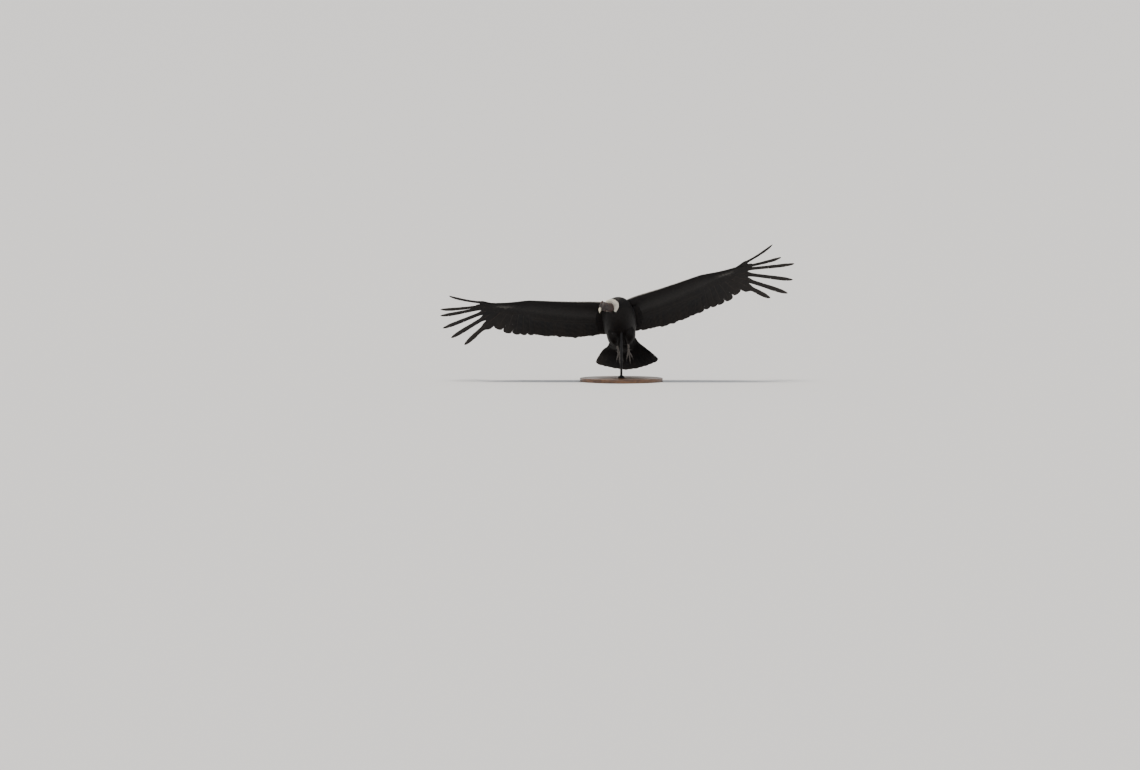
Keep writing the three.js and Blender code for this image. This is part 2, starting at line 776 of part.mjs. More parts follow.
// One lock of down: a flat tapered tuft that leans back towards the shoulders
function ruffLock(angle, lean, length) {
  const out = ruffOut(angle);
  const across = new THREE.Vector3().crossVectors(RUFF_AXIS, out);
  const along = out
    .clone()
    .multiplyScalar(Math.cos(rad(lean)))
    .addScaledVector(RUFF_AXIS, -Math.sin(rad(lean)));
  const upward = new THREE.Vector3().crossVectors(along, across);
  const root = RUFF_CENTRE.clone().addScaledVector(out, RUFF_RADIUS - 6);
  const rings = [
    [0, 7, 3],
    [0.5, 10.5, 3.2],
    [0.82, 7.5, 2.2],
    [1, 2.5, 0.8],
  ].map(([share, half, thick]) => {
    const centre = root.clone().addScaledVector(along, share * length);
    return oval(centre, across, upward, half, thick, thick, 4);
  });
  return solidOf(loft(rings));
}

function ruffHalf(side, draw) {
  const steps = 9;
  const rings = Array.from({ length: steps + 1 }, (_, i) => {
    const share = i / steps;
    const out = ruffOut(side * (0.25 + share * RUFF_SWEEP));
    const size = RUFF_CORE * (1 - 0.4 * smoothstep(share, 0.6, 1));
    const centre = RUFF_CENTRE.clone().addScaledVector(out, RUFF_RADIUS);
    return oval(centre, out, RUFF_AXIS, size * 1.25, size, size, 8);
  });
  const locks = Array.from({ length: RUFF_LOCKS }, (_, i) => {
    const angle = side * (9 + ((RUFF_SWEEP - 12) * i) / (RUFF_LOCKS - 1));
    return ruffLock(angle, i % 2 ? 34 : 12, LOCK_LENGTH * (1 + 0.1 * draw()));
  });
  const outwards = ruffAcross.clone().multiplyScalar(side);
  return join([solidOf(loft(rings)), ...locks])
    .trimByPlane(outwards.toArray(), outwards.dot(RUFF_CENTRE) + GAP / 2)
    .subtract(neckSolid(GAP))
    .subtract(torsoGrown);
}
for (const [name, side] of SIDES) part(`ruff_${name}`, ruffHalf(side, drawFrom(3 + side)), WHITE_DOWN);

// Legs: feathered thighs against the belly, then the bare shank and foot trailing under the tail
const THIGH_PATH = [vec(70, 52, -72), vec(68, 112, -94), vec(60, 185, -90), vec(47, 246, -72)];
const THIGH_SIZES = [
  [0, 34, 30, 30],
  [0.15, 44, 36, 36],
  [0.45, 42, 34, 34],
  [0.75, 28, 24, 24],
  [1, 14, 13, 13],
];
const SHANK_PATH = [vec(47, 246.6, -72), vec(44, 300, -68), vec(41, 352, -62)];
const SHANK_SIZES = [
  [0, 11, 11, 11],
  [0.2, 9, 9, 9],
  [0.8, 8.5, 8.5, 8.5],
  [1, 12, 9, 9],
];
// Toes: turn from straight back in degrees, length, root half width
const TOES = [
  [-19, 72, 7.6],
  [1, 102, 8.4],
  [20, 68, 7.4],
  [150, 30, 6],
];
const CLAW_LENGTH = 26;

function toePath(turn, length, from) {
  const heading = vec(Math.sin(rad(turn)), Math.cos(rad(turn)), 0);
  const sag = (share) => -0.24 * length * share * share;
  return [0, 0.35, 0.7, 1].map((share) =>
    from
      .clone()
      .addScaledVector(heading, share * length)
      .setZ(from.z + sag(share)),
  );
}

function toeSolid([turn, length, half], from, grow = 0) {
  const sizes = [0, 0.28, 0.5, 0.75, 1].map((share, i) => {
    const size = half * (1 - 0.35 * share) * (i % 2 ? 0.86 : 1);
    return [share, size, size * 0.9, size];
  });
  return limb(toePath(turn, length + grow, from), sizes, 6, grow);
}

// A claw starts inside its toe and is cut back to the toe's end.
function clawSolid(toe, from) {
  const [turn, length, half] = toe;
  const heading = vec(Math.sin(rad(turn)), Math.cos(rad(turn)), 0);
  const start = toePath(turn, length - 3, from).at(-1);
  const size = half * 0.5;
  const curl = [
    start,
    start.clone().addScaledVector(heading, CLAW_LENGTH * 0.5).add(vec(0, 0, -CLAW_LENGTH * 0.34)),
    start.clone().addScaledVector(heading, CLAW_LENGTH * 0.72).add(vec(0, 0, -CLAW_LENGTH * 0.8)),
  ];
  const sizes = [
    [0, size, size, size],
    [0.5, size * 0.68, size * 0.68, size * 0.68],
    [1, 0.4, 0.4, 0.4],
  ];
  return limb(curl, sizes, 6).subtract(toeSolid(toe, from, GAP));
}

const thighSolid = (grow = 0) => limb(THIGH_PATH, THIGH_SIZES, 14, grow);
for (const [name, side] of SIDES) {
  part(`thigh_${name}`, onSide(thighSolid(), side).subtract(torsoGrown), FEATHER);
  const ankle = SHANK_PATH.at(-1);
  const claws = TOES.map((toe) => clawSolid(toe, ankle));
  const leg = join([limb(SHANK_PATH, SHANK_SIZES, 8), ...TOES.map((toe) => toeSolid(toe, ankle))]);
  const foot = leg.subtract(thighSolid(GAP)).subtract(torsoGrown);
  part(`foot_${name}`, onSide(foot, side), SCUTED_SKIN);
  claws.forEach((claw, i) => part(`claw_${name}_${i + 1}`, onSide(claw, side), CLAW_HORN));
}

// The group that tips the bird nose up and banks it
const bird = new THREE.Group();
bird.rotation.set(-rad(PITCH), -rad(BANK), 0, "YXZ");
bird.position.set(...BREAST_PLACE, BREAST_HEIGHT);
bird.updateMatrix();

// Stand: a flat round base and one upright rod that ends in a socket in the breast
const BASE_RADIUS = 340;
const BASE_THICKNESS = 30;
const ROD_RADIUS = 10;
const SOCKET_DEPTH = 45;

function standBase() {
  const edge = 5;
  const profile = [
    [0, 0],
    [BASE_RADIUS - 2, 0],
    [BASE_RADIUS, 2],
    [BASE_RADIUS, BASE_THICKNESS - edge],
    [BASE_RADIUS - edge * 0.3, BASE_THICKNESS - edge * 0.3],
    [BASE_RADIUS - edge, BASE_THICKNESS],
    [0, BASE_THICKNESS],
  ].map(([x, y]) => new THREE.Vector2(x, y));
  const shape = new THREE.LatheGeometry(profile, 40);
  shape.rotateX(rad(90));
  return solidOf(shape);
}

function upright(radius, bottom, top) {
  const shape = new THREE.CylinderGeometry(radius, radius, top - bottom, 20);
  shape.rotateX(rad(90));
  shape.translate(0, 0, (top + bottom) / 2);
  return shape;
}

// Where the rod's axis enters the belly, found on the torso itself
function bellyHeight() {
  const shape = geometryOf(torso);
  shape.applyMatrix4(bird.matrix);
  const ray = new THREE.Raycaster(vec(0, 0, -1), vec(0, 0, 1));
  const target = new THREE.Mesh(shape, new THREE.MeshBasicMaterial({ side: THREE.DoubleSide }));
  return ray.intersectObject(target)[0].point.z;
}

const socketTop = bellyHeight() + SOCKET_DEPTH;
const socket = upright(ROD_RADIUS + GAP, BASE_THICKNESS, socketTop);
socket.applyMatrix4(bird.matrix.clone().invert());
part("torso", torso.subtract(solidOf(socket)), FEATHER);

const model = new THREE.Group();
for (const mesh of meshes) if (!mesh.parent) bird.add(mesh);
bird.add(headGroup);
model.add(bird);
model.add(part("stand_base", standBase(), BASE_WOOD));
const rod = upright(ROD_RADIUS, BASE_THICKNESS + GAP, socketTop - GAP);
model.add(part("stand_rod", solidOf(rod), ROD_PAINT));

export default model;
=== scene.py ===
# %% [markdown]
# # An Andean condor on a display stand
# The bird soars towards us with its finger feathers spread, held up by one short rod. The packed
# solids fix where everything is. This script dresses them: one skin, feathers of every kind, a white
# ruff, a bill, eyes, feet and a turned wooden base.
#
# Lengths are in millimetres in the bird's own frame, with +X to its left, +Y towards its tail and +Z
# out of its back. One function turns them into the room's metres.

# %% Load the solids
import math
from contextlib import contextmanager

import bpy
import numpy as np
from mathutils import Matrix, Vector, noise
from mathutils.bvhtree import BVHTree


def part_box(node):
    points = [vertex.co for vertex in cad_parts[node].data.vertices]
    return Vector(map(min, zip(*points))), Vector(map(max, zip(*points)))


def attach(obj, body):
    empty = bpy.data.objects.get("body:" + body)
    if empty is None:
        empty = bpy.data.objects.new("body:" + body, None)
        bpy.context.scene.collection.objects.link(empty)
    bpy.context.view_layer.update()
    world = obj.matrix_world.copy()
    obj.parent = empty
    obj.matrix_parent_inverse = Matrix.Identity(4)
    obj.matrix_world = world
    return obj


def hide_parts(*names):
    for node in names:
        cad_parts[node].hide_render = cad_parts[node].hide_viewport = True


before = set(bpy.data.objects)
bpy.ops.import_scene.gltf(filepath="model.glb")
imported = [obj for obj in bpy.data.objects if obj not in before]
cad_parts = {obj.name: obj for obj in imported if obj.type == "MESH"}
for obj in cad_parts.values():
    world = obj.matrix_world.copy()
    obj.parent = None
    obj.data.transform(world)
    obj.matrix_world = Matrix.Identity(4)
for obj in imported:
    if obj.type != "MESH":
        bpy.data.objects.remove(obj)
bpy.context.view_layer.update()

# %% [markdown]
# ## The bird's frame
# Everything on the bird is placed from a few driving sizes, the same ones as in the solids. The bird
# is tipped nose up and banked as one, so each point is made in its level frame and turned at the end.

# %% Driving sizes
HALF_SPAN = 1460
BODY_WIDTH = 264
BODY_DEPTH = 222
TAIL_LENGTH = 333
WING_CHORD = 445
PITCH = 44  # degrees, nose up
BANK = 8.4  # degrees, left wing up
BREAST = (-19, 28, 520)
LEFT, RIGHT = 1, -1
SIDES = (("left", LEFT), ("right", RIGHT))

METRE = 0.001
BIRD = (
    Matrix.Scale(METRE, 4)
    @ Matrix.Translation(Vector(BREAST))
    @ Matrix.Rotation(math.radians(-BANK), 4, "Y")
    @ Matrix.Rotation(math.radians(-PITCH), 4, "X")
)
print("span", 2 * HALF_SPAN, "mm, body", BODY_WIDTH, "by", BODY_DEPTH, "mm, its middle at", BREAST)

# %% [markdown]
# Points are kept as rows of an array, so that one line of code can place a thousand of them. Shapes
# that swell and narrow are given as short tables, and a smooth curve is led through each.


# %% Rows of points
def moved(points, matrix):
    """Points moved by a 4 x 4 matrix."""
    turn = np.array(matrix)
    return points @ turn[:3, :3].T + turn[:3, 3]


def unit(rows):
    return rows / np.linalg.norm(rows, axis=-1, keepdims=True)


def mirrored(points, side):
    return points * np.array([side, 1, 1])


def folded(points):
    """The right half of the bird laid over its left half."""
    return np.abs(points * (1, 0, 0)) + points * (0, 1, 1)


print("the middle of the breast in metres:", moved(np.zeros(3), BIRD).round(3))


# %% Smooth steps and tables
def smoothstep(x, low, high):
    t = np.clip((x - low) / (high - low), 0, 1)
    return t * t * (3 - 2 * t)


def through(table):
    """A smooth function through a short table of (place, value) pairs."""
    places, values = np.array(table, float).T
    ends = np.r_[0, np.arange(len(places)), len(places) - 1]
    slopes = (values[ends[2:]] - values[ends[:-2]]) / (places[ends[2:]] - places[ends[:-2]])

    def at(x):
        x = np.clip(x, places[0], places[-1])
        i = np.clip(np.searchsorted(places, x), 1, len(places) - 1)
        step = places[i] - places[i - 1]
        t = (x - places[i - 1]) / step
        rise = slopes[i - 1] * step * t * (1 - t) ** 2 - slopes[i] * step * t * t * (1 - t)
        return values[i - 1] * (1 + 2 * t) * (1 - t) ** 2 + values[i] * t * t * (3 - 2 * t) + rise

    return at


def through_columns(rows, *columns):
    """One such function of a table's first column for each of its other columns named."""
    return [through([(row[0], row[k]) for row in rows]) for k in columns]


print("a quarter of the way up a smooth step:", smoothstep(0.25, 0, 1))

# %% [markdown]
# ## Camera
# The photo was taken from far below, so perspective is weak: a long lens at 25 m. The bird's origin
# sits right of and above the middle of the frame, as in the photo. The camera has to stay above the
# floor, so the bird's pitch makes up for the angle that the photo was taken from.

# %% Camera
FRAME_WIDTH, FRAME_HEIGHT = 1140, 770
BREAST_PIXEL = (619, 318)
METRES_PER_PIXEL = 0.0082
DISTANCE = 25
FAR_END = 400
ELEVATION = math.radians(3)
SENSOR = 36

camera_data = bpy.data.cameras.new("camera")
camera_data.sensor_width = SENSOR
camera_data.lens = SENSOR * DISTANCE / (FRAME_WIDTH * METRES_PER_PIXEL)
camera_data.clip_end = FAR_END
camera = bpy.data.objects.new("camera", camera_data)
camera.rotation_euler = (math.radians(90) - ELEVATION, 0, 0)
right = Vector((1, 0, 0))
upward = Vector((0, math.sin(ELEVATION), math.cos(ELEVATION)))
forward = Vector((0, math.cos(ELEVATION), -math.sin(ELEVATION)))
aside = (BREAST_PIXEL[0] - FRAME_WIDTH / 2) * METRES_PER_PIXEL
above = (FRAME_HEIGHT / 2 - BREAST_PIXEL[1]) * METRES_PER_PIXEL
camera.location = Vector(BREAST) * METRE - forward * DISTANCE - right * aside - upward * above
bpy.context.scene.collection.objects.link(camera)
bpy.context.scene.camera = camera
print("lens", round(camera_data.lens, 1), "mm at", [round(v, 2) for v in camera.location])

# %% [markdown]
# ## Ways of working
# An operator acts on all that is selected, so each piece starts with everything else deselected, is
# shaped in edit mode, and has its modifiers applied at once.


# %% Start and shape a piece
def select_only(*pieces):
    bpy.ops.object.select_all(action="DESELECT")
    for piece in pieces:
        piece.select_set(True)
    bpy.context.view_layer.objects.active = pieces[0]


def begin(name, operator, **settings):
    """Add a primitive with nothing else selected."""
    bpy.ops.object.select_all(action="DESELECT")
    operator(**settings)
    piece = bpy.context.active_object
    piece.name = piece.data.name = name
    return piece


@contextmanager
def editing(piece):
    bpy.context.view_layer.objects.active = piece
    bpy.ops.object.mode_set(mode="EDIT")
    bpy.ops.mesh.select_all(action="SELECT")
    yield
    bpy.ops.object.mode_set(mode="OBJECT")


def choose_faces(piece, test):
    """Select the faces whose middle and normal pass a test, for use in edit mode."""
    bpy.ops.mesh.select_mode(type="FACE")
    bpy.ops.mesh.select_all(action="DESELECT")
    bpy.ops.object.mode_set(mode="OBJECT")
    for face in piece.data.polygons:
        face.select = bool(test(face.center, face.normal))
    bpy.ops.object.mode_set(mode="EDIT")


# %% Apply, join and remesh
def apply_modifier(piece, kind, **settings):
    select_only(piece)
    modifier = piece.modifiers.new(kind.lower(), kind)
    for name, value in settings.items():
        setattr(modifier, name, value)
    bpy.ops.object.modifier_apply(modifier=modifier.name)


def joined(name, pieces):
    select_only(*pieces)
    bpy.ops.object.join()
    pieces[0].name = pieces[0].data.name = name
    return pieces[0]


def remesh(piece, voxel, smoothing):
    """One closed even surface in place of overlapping ones, then smoothed."""
    select_only(piece)
    piece.data.remesh_voxel_size = voxel * METRE
    bpy.ops.object.voxel_remesh()
    with editing(piece):
        bpy.ops.mesh.vertices_smooth(factor=0.5, repeat=smoothing)


# %% Read and write a mesh as arrays
def read(items, name, width=1, kind=np.float32):
    """One property of all of a mesh's items, as rows."""
    values = np.empty(len(items) * width, kind)
    items.foreach_get(name, values)
    return values.reshape(-1, width) if width > 1 else values


def points_of(piece):
    return read(piece.data.vertices, "co", 3).astype(float)


def set_points(piece, points):
    piece.data.vertices.foreach_set("co", points.astype(np.float32).ravel())
    piece.data.update()


def set_colours(mesh, name, rows):
    """Store four numbers on each point, for a finish to read."""
    colours = mesh.attributes.new(name, "FLOAT_COLOR", "POINT")
    colours.data.foreach_set("color", rows.astype(np.float32).ravel())


print("points in the solids' torso:", len(points_of(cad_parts["torso"])))


# %% Dress a finished piece
def dress(piece, material, nodes=(), smooth_angle=60):
    """Material, smooth shading, body and the solids that a finished piece stands for."""
    select_only(piece)
    bpy.ops.object.shade_smooth_by_angle(angle=math.radians(smooth_angle))
    piece.data.materials.clear()
    piece.data.materials.append(material)
    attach(piece, "root")
    if nodes:
        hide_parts(*nodes)
    faces = sum(len(face.vertices) - 2 for face in piece.data.polygons)
    print(piece.name, faces, "triangles")
    return piece


# %% [markdown]
# ## Finishes
# Each material starts from what the real surface is. Colours are sRGB hex values that one function
# turns to linear light, and one function adds a node with its settings and links. A relief too fine
# to model is a bump, whose depth is the real one in metres.


# %% Colour and node helpers
def linear(colour):
    channels = [int(colour[i : i + 2], 16) / 255 for i in (1, 3, 5)]
    return (*(c / 12.92 if c <= 0.04045 else ((c + 0.055) / 1.055) ** 2.4 for c in channels), 1)


def new_finish(name, **sockets):
    """A material with one Principled shader whose own sockets are set by name."""
    material = bpy.data.materials.new(name)
    material.use_nodes = True
    shader = material.node_tree.nodes["Principled BSDF"]
    for socket, value in sockets.items():
        shader.inputs[socket.replace("_", " ")].default_value = value
    return material


def add(material, kind, inputs, out=0, **settings):
    """Add a node with its settings, its sockets given values or links, and return one of its outputs."""
    tree = material.node_tree
    node = tree.nodes.new("ShaderNode" + kind)
    for name, value in settings.items():
        setattr(node, name, value)
    for socket, value in inputs.items():
        if isinstance(value, bpy.types.NodeSocket):
            tree.links.new(value, node.inputs[socket])
        else:
            node.inputs[socket].default_value = value
    return node.outputs[out]


def finished(material, colour, relief=None, strength=0, depth=0):
    """Link the colour, and a relief if there is one, to the shader."""
    tree = material.node_tree
    shader = tree.nodes["Principled BSDF"]
    tree.links.new(colour, shader.inputs["Base Color"])
    if relief:
        bump = add(material, "Bump", {"Height": relief, "Strength": strength, "Distance": depth})
        tree.links.new(bump, shader.inputs["Normal"])
    print(material.name, "with", len(tree.nodes), "nodes")
    return material


print("mid grey #808080 in linear light:", round(linear("#808080")[0], 3))

# %% [markdown]
# ### Feather keratin
# A condor's feather is keratin packed with melanin: black, browner where the sun has worn the tips.
# Air between the barbs traps light, so its gloss is weaker than that of solid keratin. Barbs are
# under a millimetre apart, too fine to show, so they are drawn about 2.5 mm apart, slanting outwards
# from the shaft.
#
# The UV map `Barbs` holds real metres across and along each feather. The attribute `mark` holds a
# feather's own tone, how white it is, and whether a point is on the shaft, and its alpha how far
# along the feather the point lies. On the small coverts along the arm's upper leading edge, that
# whiteness is a painted highlight for the sun's rim.

# %% Feather finish
BARB_SPACING = 0.0025
BARB_LENGTH = 0.03
BARB_SLANT = -0.9
TONE_SHIFT = 40  # barbs of two feathers never line up
PATCH_SCALE = 45  # per metre, so a blotch of wear is some 20 mm wide
AGED_TONE = 0.35  # how much browner the brownest feather is all over
BARB_DEPTH = 0.0006


def feather_finish(name, dark, light, worn, pale, shaft, roughness):
    finish = new_finish(name, Roughness=roughness, Specular_IOR_Level=0.15)
    mark = add(finish, "Attribute", {}, "Color", attribute_name="mark").node
    tone, white, quill = add(finish, "SeparateColor", {0: mark.outputs["Color"]}).node.outputs
    barb_map = add(finish, "UVMap", {}, uv_map="Barbs")
    across, along, _ = add(finish, "SeparateXYZ", {0: barb_map}).node.outputs
    out = add(finish, "Math", {0: across}, operation="ABSOLUTE")
    slanted = add(finish, "Math", {0: out, 1: BARB_SLANT, 2: along}, operation="MULTIPLY_ADD")
    lie = add(finish, "CombineXYZ", {0: out, 1: slanted, 2: tone})
    per_barb = (1 / BARB_LENGTH, 1 / BARB_SPACING, TONE_SHIFT)
    scaled = add(finish, "VectorMath", {0: lie, 1: per_barb}, operation="MULTIPLY")
    barbs = add(finish, "TexNoise", {"Vector": scaled, "Scale": 1, "Detail": 2})
    patches = add(finish, "TexNoise", {"Vector": lie, "Scale": PATCH_SCALE, "Detail": 3})
    streaks = add(finish, "MapRange", {0: barbs, 1: 0.35, 2: 0.7})
    ground = add(finish, "Mix", {0: streaks, 6: linear(dark), 7: linear(light)}, 2, data_type="RGBA")
    towards_tip = add(finish, "MapRange", {0: mark.outputs["Alpha"], 1: 0.55, 2: 1.1, 4: 0.75})
    wear = add(finish, "Math", {0: towards_tip, 1: patches}, operation="MULTIPLY")
    aged = add(finish, "Math", {0: tone, 1: AGED_TONE, 2: wear}, operation="MULTIPLY_ADD")
    ground = add(finish, "Mix", {0: aged, 6: ground, 7: linear(worn)}, 2, data_type="RGBA")
    soiled = add(finish, "MapRange", {0: streaks, 3: 0.8, 4: 1})
    white = add(finish, "Math", {0: white, 1: soiled}, operation="MULTIPLY")
    ground = add(finish, "Mix", {0: white, 6: ground, 7: linear(pale)}, 2, data_type="RGBA")
    colour = add(finish, "Mix", {0: quill, 6: ground, 7: linear(shaft)}, 2, data_type="RGBA")
    return finished(finish, colour, barbs, 0.5, BARB_DEPTH)


FLIGHT_FEATHER = feather_finish(
    "black flight feather", "#060608", "#121215", "#221b15", "#cfccc4", "#2a211b", 0.42
)
BODY_FEATHER = feather_finish(
    "black contour feather", "#050507", "#100f12", "#1c1713", "#cfccc4", "#0f0c0b", 0.55
)

# %% [markdown]
# ### Down and skin
# Down is loose white barbs that scatter light, so it is rough with a soft sheen, creamier where two
# wisps lie on each other. Bare skin is matt with a fine crumple and lets a little light through.

# %% Down finish
WISP_SCALE = 260  # per metre, so a wisp is about 4 mm wide
DOWN_GLOW = (0.006, 0.005, 0.004)


def down_finish():
    finish = new_finish(
        "white down", Roughness=0.95, Sheen_Weight=0.4, Sheen_Roughness=0.6,
        Subsurface_Weight=0.15, Subsurface_Radius=DOWN_GLOW,
    )
    mark = add(finish, "Attribute", {}, "Color", attribute_name="mark")
    tone = add(finish, "SeparateColor", {0: mark})
    place = add(finish, "TexCoord", {}, "Object")
    wisps = add(finish, "TexNoise", {"Vector": place, "Scale": WISP_SCALE, "Detail": 4})
    share = add(finish, "Math", {0: wisps, 1: tone}, operation="MULTIPLY")
    ends = {6: linear("#f4f1e8"), 7: linear("#cdc6b4")}
    colour = add(finish, "Mix", {0: share} | ends, 2, data_type="RGBA")
    return finished(finish, colour, wisps, 0.4, 0.001)


WHITE_DOWN = down_finish()

# %% Skin finish
MOTTLE_SCALE = 110  # per metre, for blotches 9 mm wide
CRUMPLE_SCALE = 420  # cells 2.4 mm wide


def skin_finish():
    """Living colour comes from the attribute `tint`, painted on the skin in code."""
    finish = new_finish(
        "bare wrinkled skin", Roughness=0.55, Subsurface_Weight=0.08, Subsurface_Scale=0.004
    )
    tint = add(finish, "Attribute", {}, "Color", attribute_name="tint")
    place = add(finish, "TexCoord", {}, "Object")
    mottle = add(finish, "TexNoise", {"Vector": place, "Scale": MOTTLE_SCALE, "Detail": 5})
    crumple = add(finish, "TexVoronoi", {"Vector": place, "Scale": CRUMPLE_SCALE, "Randomness": 1})
    shade = add(finish, "MapRange", {0: mottle, 1: 0.35, 2: 0.7, 3: 0.55, 4: 1.35})
    colour = add(finish, "VectorMath", {0: tint, 3: shade}, operation="SCALE")
    return finished(finish, colour, crumple, 0.5, 0.0007)


BARE_SKIN = skin_finish()

# %% [markdown]
# ### Horn, scutes and eye
# Horn is smooth and a little glossy, dark where it leaves the face. A foot's skin is split into hard
# scutes with dull seams between them. The eye is wet, so it is the shiniest surface of all.


# %% Horn finish
def horn_finish(name, root_colour, tip_colour, roughness, grains):
    """Horn whose colour runs from root to tip by the attribute `mark`, clouded by grains per metre."""
    finish = new_finish(name, Roughness=roughness, Coat_Weight=0.15, Coat_Roughness=0.3)
    mark = add(finish, "Attribute", {}, "Color", attribute_name="mark")
    share = add(finish, "SeparateColor", {0: mark})
    place = add(finish, "TexCoord", {}, "Object")
    grain = add(finish, "TexNoise", {"Vector": place, "Scale": grains, "Detail": 4})
    uneven = add(finish, "Math", {0: grain, 1: 0.25, 2: -0.125}, operation="MULTIPLY_ADD")
    share = add(finish, "Math", {0: share, 1: uneven}, operation="ADD", use_clamp=True)
    ends = {6: linear(root_colour), 7: linear(tip_colour)}
    colour = add(finish, "Mix", {0: share} | ends, 2, data_type="RGBA")
    return finished(finish, colour, grain, 0.15, 0.0004)


BILL_HORN = horn_finish("ivory bill horn", "#1d1917", "#ded5bd", 0.34, 240)
CLAW_HORN = horn_finish("dark claw horn", "#3a322c", "#141110", 0.36, 500)

# %% Foot finish
SCUTE_SCALE = 330  # cells 3 mm wide
DUST_SCALE = 60


def scute_finish():
    """Small grey scales with sunk dark seams, dusty as an unwashed foot."""
    finish = new_finish("scuted foot skin", Roughness=0.6)
    place = add(finish, "TexCoord", {}, "Object")
    cells = {"Vector": place, "Scale": SCUTE_SCALE}
    from_edge = add(finish, "TexVoronoi", cells, feature="DISTANCE_TO_EDGE")
    dust = add(finish, "TexNoise", {"Vector": place, "Scale": DUST_SCALE, "Detail": 4})
    seam = add(finish, "MapRange", {0: from_edge, 1: 0, 2: 0.12})
    greys = {6: linear("#5f5c5a"), 7: linear("#8a8580")}
    ground = add(finish, "Mix", {0: dust} | greys, 2, data_type="RGBA")
    colour = add(finish, "Mix", {0: seam, 6: linear("#383330"), 7: ground}, 2, data_type="RGBA")
    return finished(finish, colour, seam, 0.6, 0.0006)


FOOT_SKIN = scute_finish()

# %% Eye finish
CORNEA_IOR = 1.376
EYE_RINGS = (
    (0, "#040303"), (0.33, "#050404"), (0.38, "#6b3f1e"),
    (0.62, "#4a2a14"), (0.7, "#120b08"), (1, "#1a1210"),
)


def eye_finish():
    """A wet cornea over a brown iris: the attribute `mark` holds the angle from the pupil's middle."""
    finish = new_finish("wet brown eye", Roughness=0.06, IOR=CORNEA_IOR, Coat_Weight=0.6)
    mark = add(finish, "Attribute", {}, "Color", attribute_name="mark")
    away = add(finish, "SeparateColor", {0: mark})
    rings = add(finish, "ValToRGB", {0: away})
    stops = rings.node.color_ramp.elements
    for place, colour in EYE_RINGS:
        stop = stops[0] if place == 0 else stops[-1] if place == 1 else stops.new(place)
        stop.color = linear(colour)
    return finished(finish, rings)


WET_EYE = eye_finish()

# %% [markdown]
# ### Walnut and enamel
# The base is turned walnut, oiled to a satin film: long grain along one way, darker bands, and pores
# as short dark dashes. The rod is steel with black enamel baked on, matt enough to vanish in front of
# the bird, with the fine orange peel that sprayed paint has.

# %% Wood finish
GRAIN_STRETCH = (1.2, 14, 14)  # the grain runs along X
GRAIN_SCALE = 3.2  # so a band is about 22 mm wide and 260 mm long
PORES = (12, 420, 420)  # per metre, so a pore is 80 mm long and 2.4 mm wide, as fine as shows


def wood_finish():
    finish = new_finish("oiled walnut", Roughness=0.38, Coat_Weight=0.2, Coat_Roughness=0.25)
    place = add(finish, "TexCoord", {}, "Object")
    stretched = add(finish, "Mapping", {"Vector": place, "Scale": GRAIN_STRETCH})
    grain = {"Vector": stretched, "Scale": GRAIN_SCALE, "Detail": 5, "Distortion": 0.8}
    bands = add(finish, "MapRange", {0: add(finish, "TexNoise", grain), 1: 0.3, 2: 0.72})
    fibres = add(finish, "Mapping", {"Vector": place, "Scale": PORES})
    pores = add(finish, "TexNoise", {"Vector": fibres, "Scale": 1, "Detail": 2})
    browns = {6: linear("#3f2616"), 7: linear("#7a5335")}
    ground = add(finish, "Mix", {0: bands} | browns, 2, data_type="RGBA")
    dark = add(finish, "MapRange", {0: pores, 1: 0.35, 2: 0.5, 3: 0.5, 4: 0})
    colour = add(finish, "Mix", {0: dark, 6: ground, 7: linear("#24140b")}, 2, data_type="RGBA")
    return finished(finish, colour, pores, 0.2, 0.0003)


WALNUT = wood_finish()

# %% Enamel finish
PEEL_SCALE = 700  # ripples 1.4 mm wide


def paint_finish():
    finish = new_finish("satin black enamel", Roughness=0.5, Specular_IOR_Level=0.25)
    place = add(finish, "TexCoord", {}, "Object")
    peel = add(finish, "TexNoise", {"Vector": place, "Scale": PEEL_SCALE, "Detail": 2})
    blacks = {6: linear("#0e0e10"), 7: linear("#17171a")}
    colour = add(finish, "Mix", {0: peel} | blacks, 2, data_type="RGBA")
    return finished(finish, colour, peel, 0.08, 0.0002)


BLACK_ENAMEL = paint_finish()

# %% [markdown]
# ## Body forms
# Each part of the body starts as a circle, extruded into a straight tube of rings. A section, which
# is a function of the angle round the tube and the share of its length, then gives every point its
# place, so a thigh and a wing's arm are made the same way.


# %% Tubes
def tube(name, section, sides, rings, matrix=BIRD):
    form = begin(name, bpy.ops.mesh.primitive_circle_add, vertices=sides, radius=1, fill_type="NGON")
    with editing(form):
        for _ in range(rings):
            bpy.ops.mesh.extrude_region_move(TRANSFORM_OT_translate={"value": (0, 0, 1 / rings)})
    x, y, share = points_of(form).T
    set_points(form, moved(section(np.arctan2(y, x), share), matrix))
    with editing(form):
        bpy.ops.mesh.normals_make_consistent(inside=False)
    return form


def oval(angle, above, below, grow=0):
    """Height round an oval whose upper and lower halves differ."""
    rise = np.sin(angle)
    return rise * (np.where(rise > 0, above, below) + grow)


def ring_section(rings, grow=0):
    """Ovals set along Y, from rows of (y, half width, above, below, height of the middle)."""
    table = sorted(rings)
    half, above, below, middle = through_columns(table, 1, 2, 3, 4)
    first, last = table[0][0], table[-1][0]

    def section(angle, share):
        y = first + (last - first) * share
        z = middle(y) + oval(angle, above(y), below(y), grow)
        return np.stack([(half(y) + grow) * np.cos(angle), y, z], -1)

    return section


print("top of an oval 30 mm high above its middle:", oval(math.pi / 2, 30, 20))


# %% Limbs along a curved path
def by_share(steps, rows):
    """Smooth functions of the share of a path's length, one for each column of rows."""
    places = np.r_[0, np.cumsum(steps)]
    return through_columns(np.c_[places / places[-1], rows], *range(1, rows.shape[1] + 1))


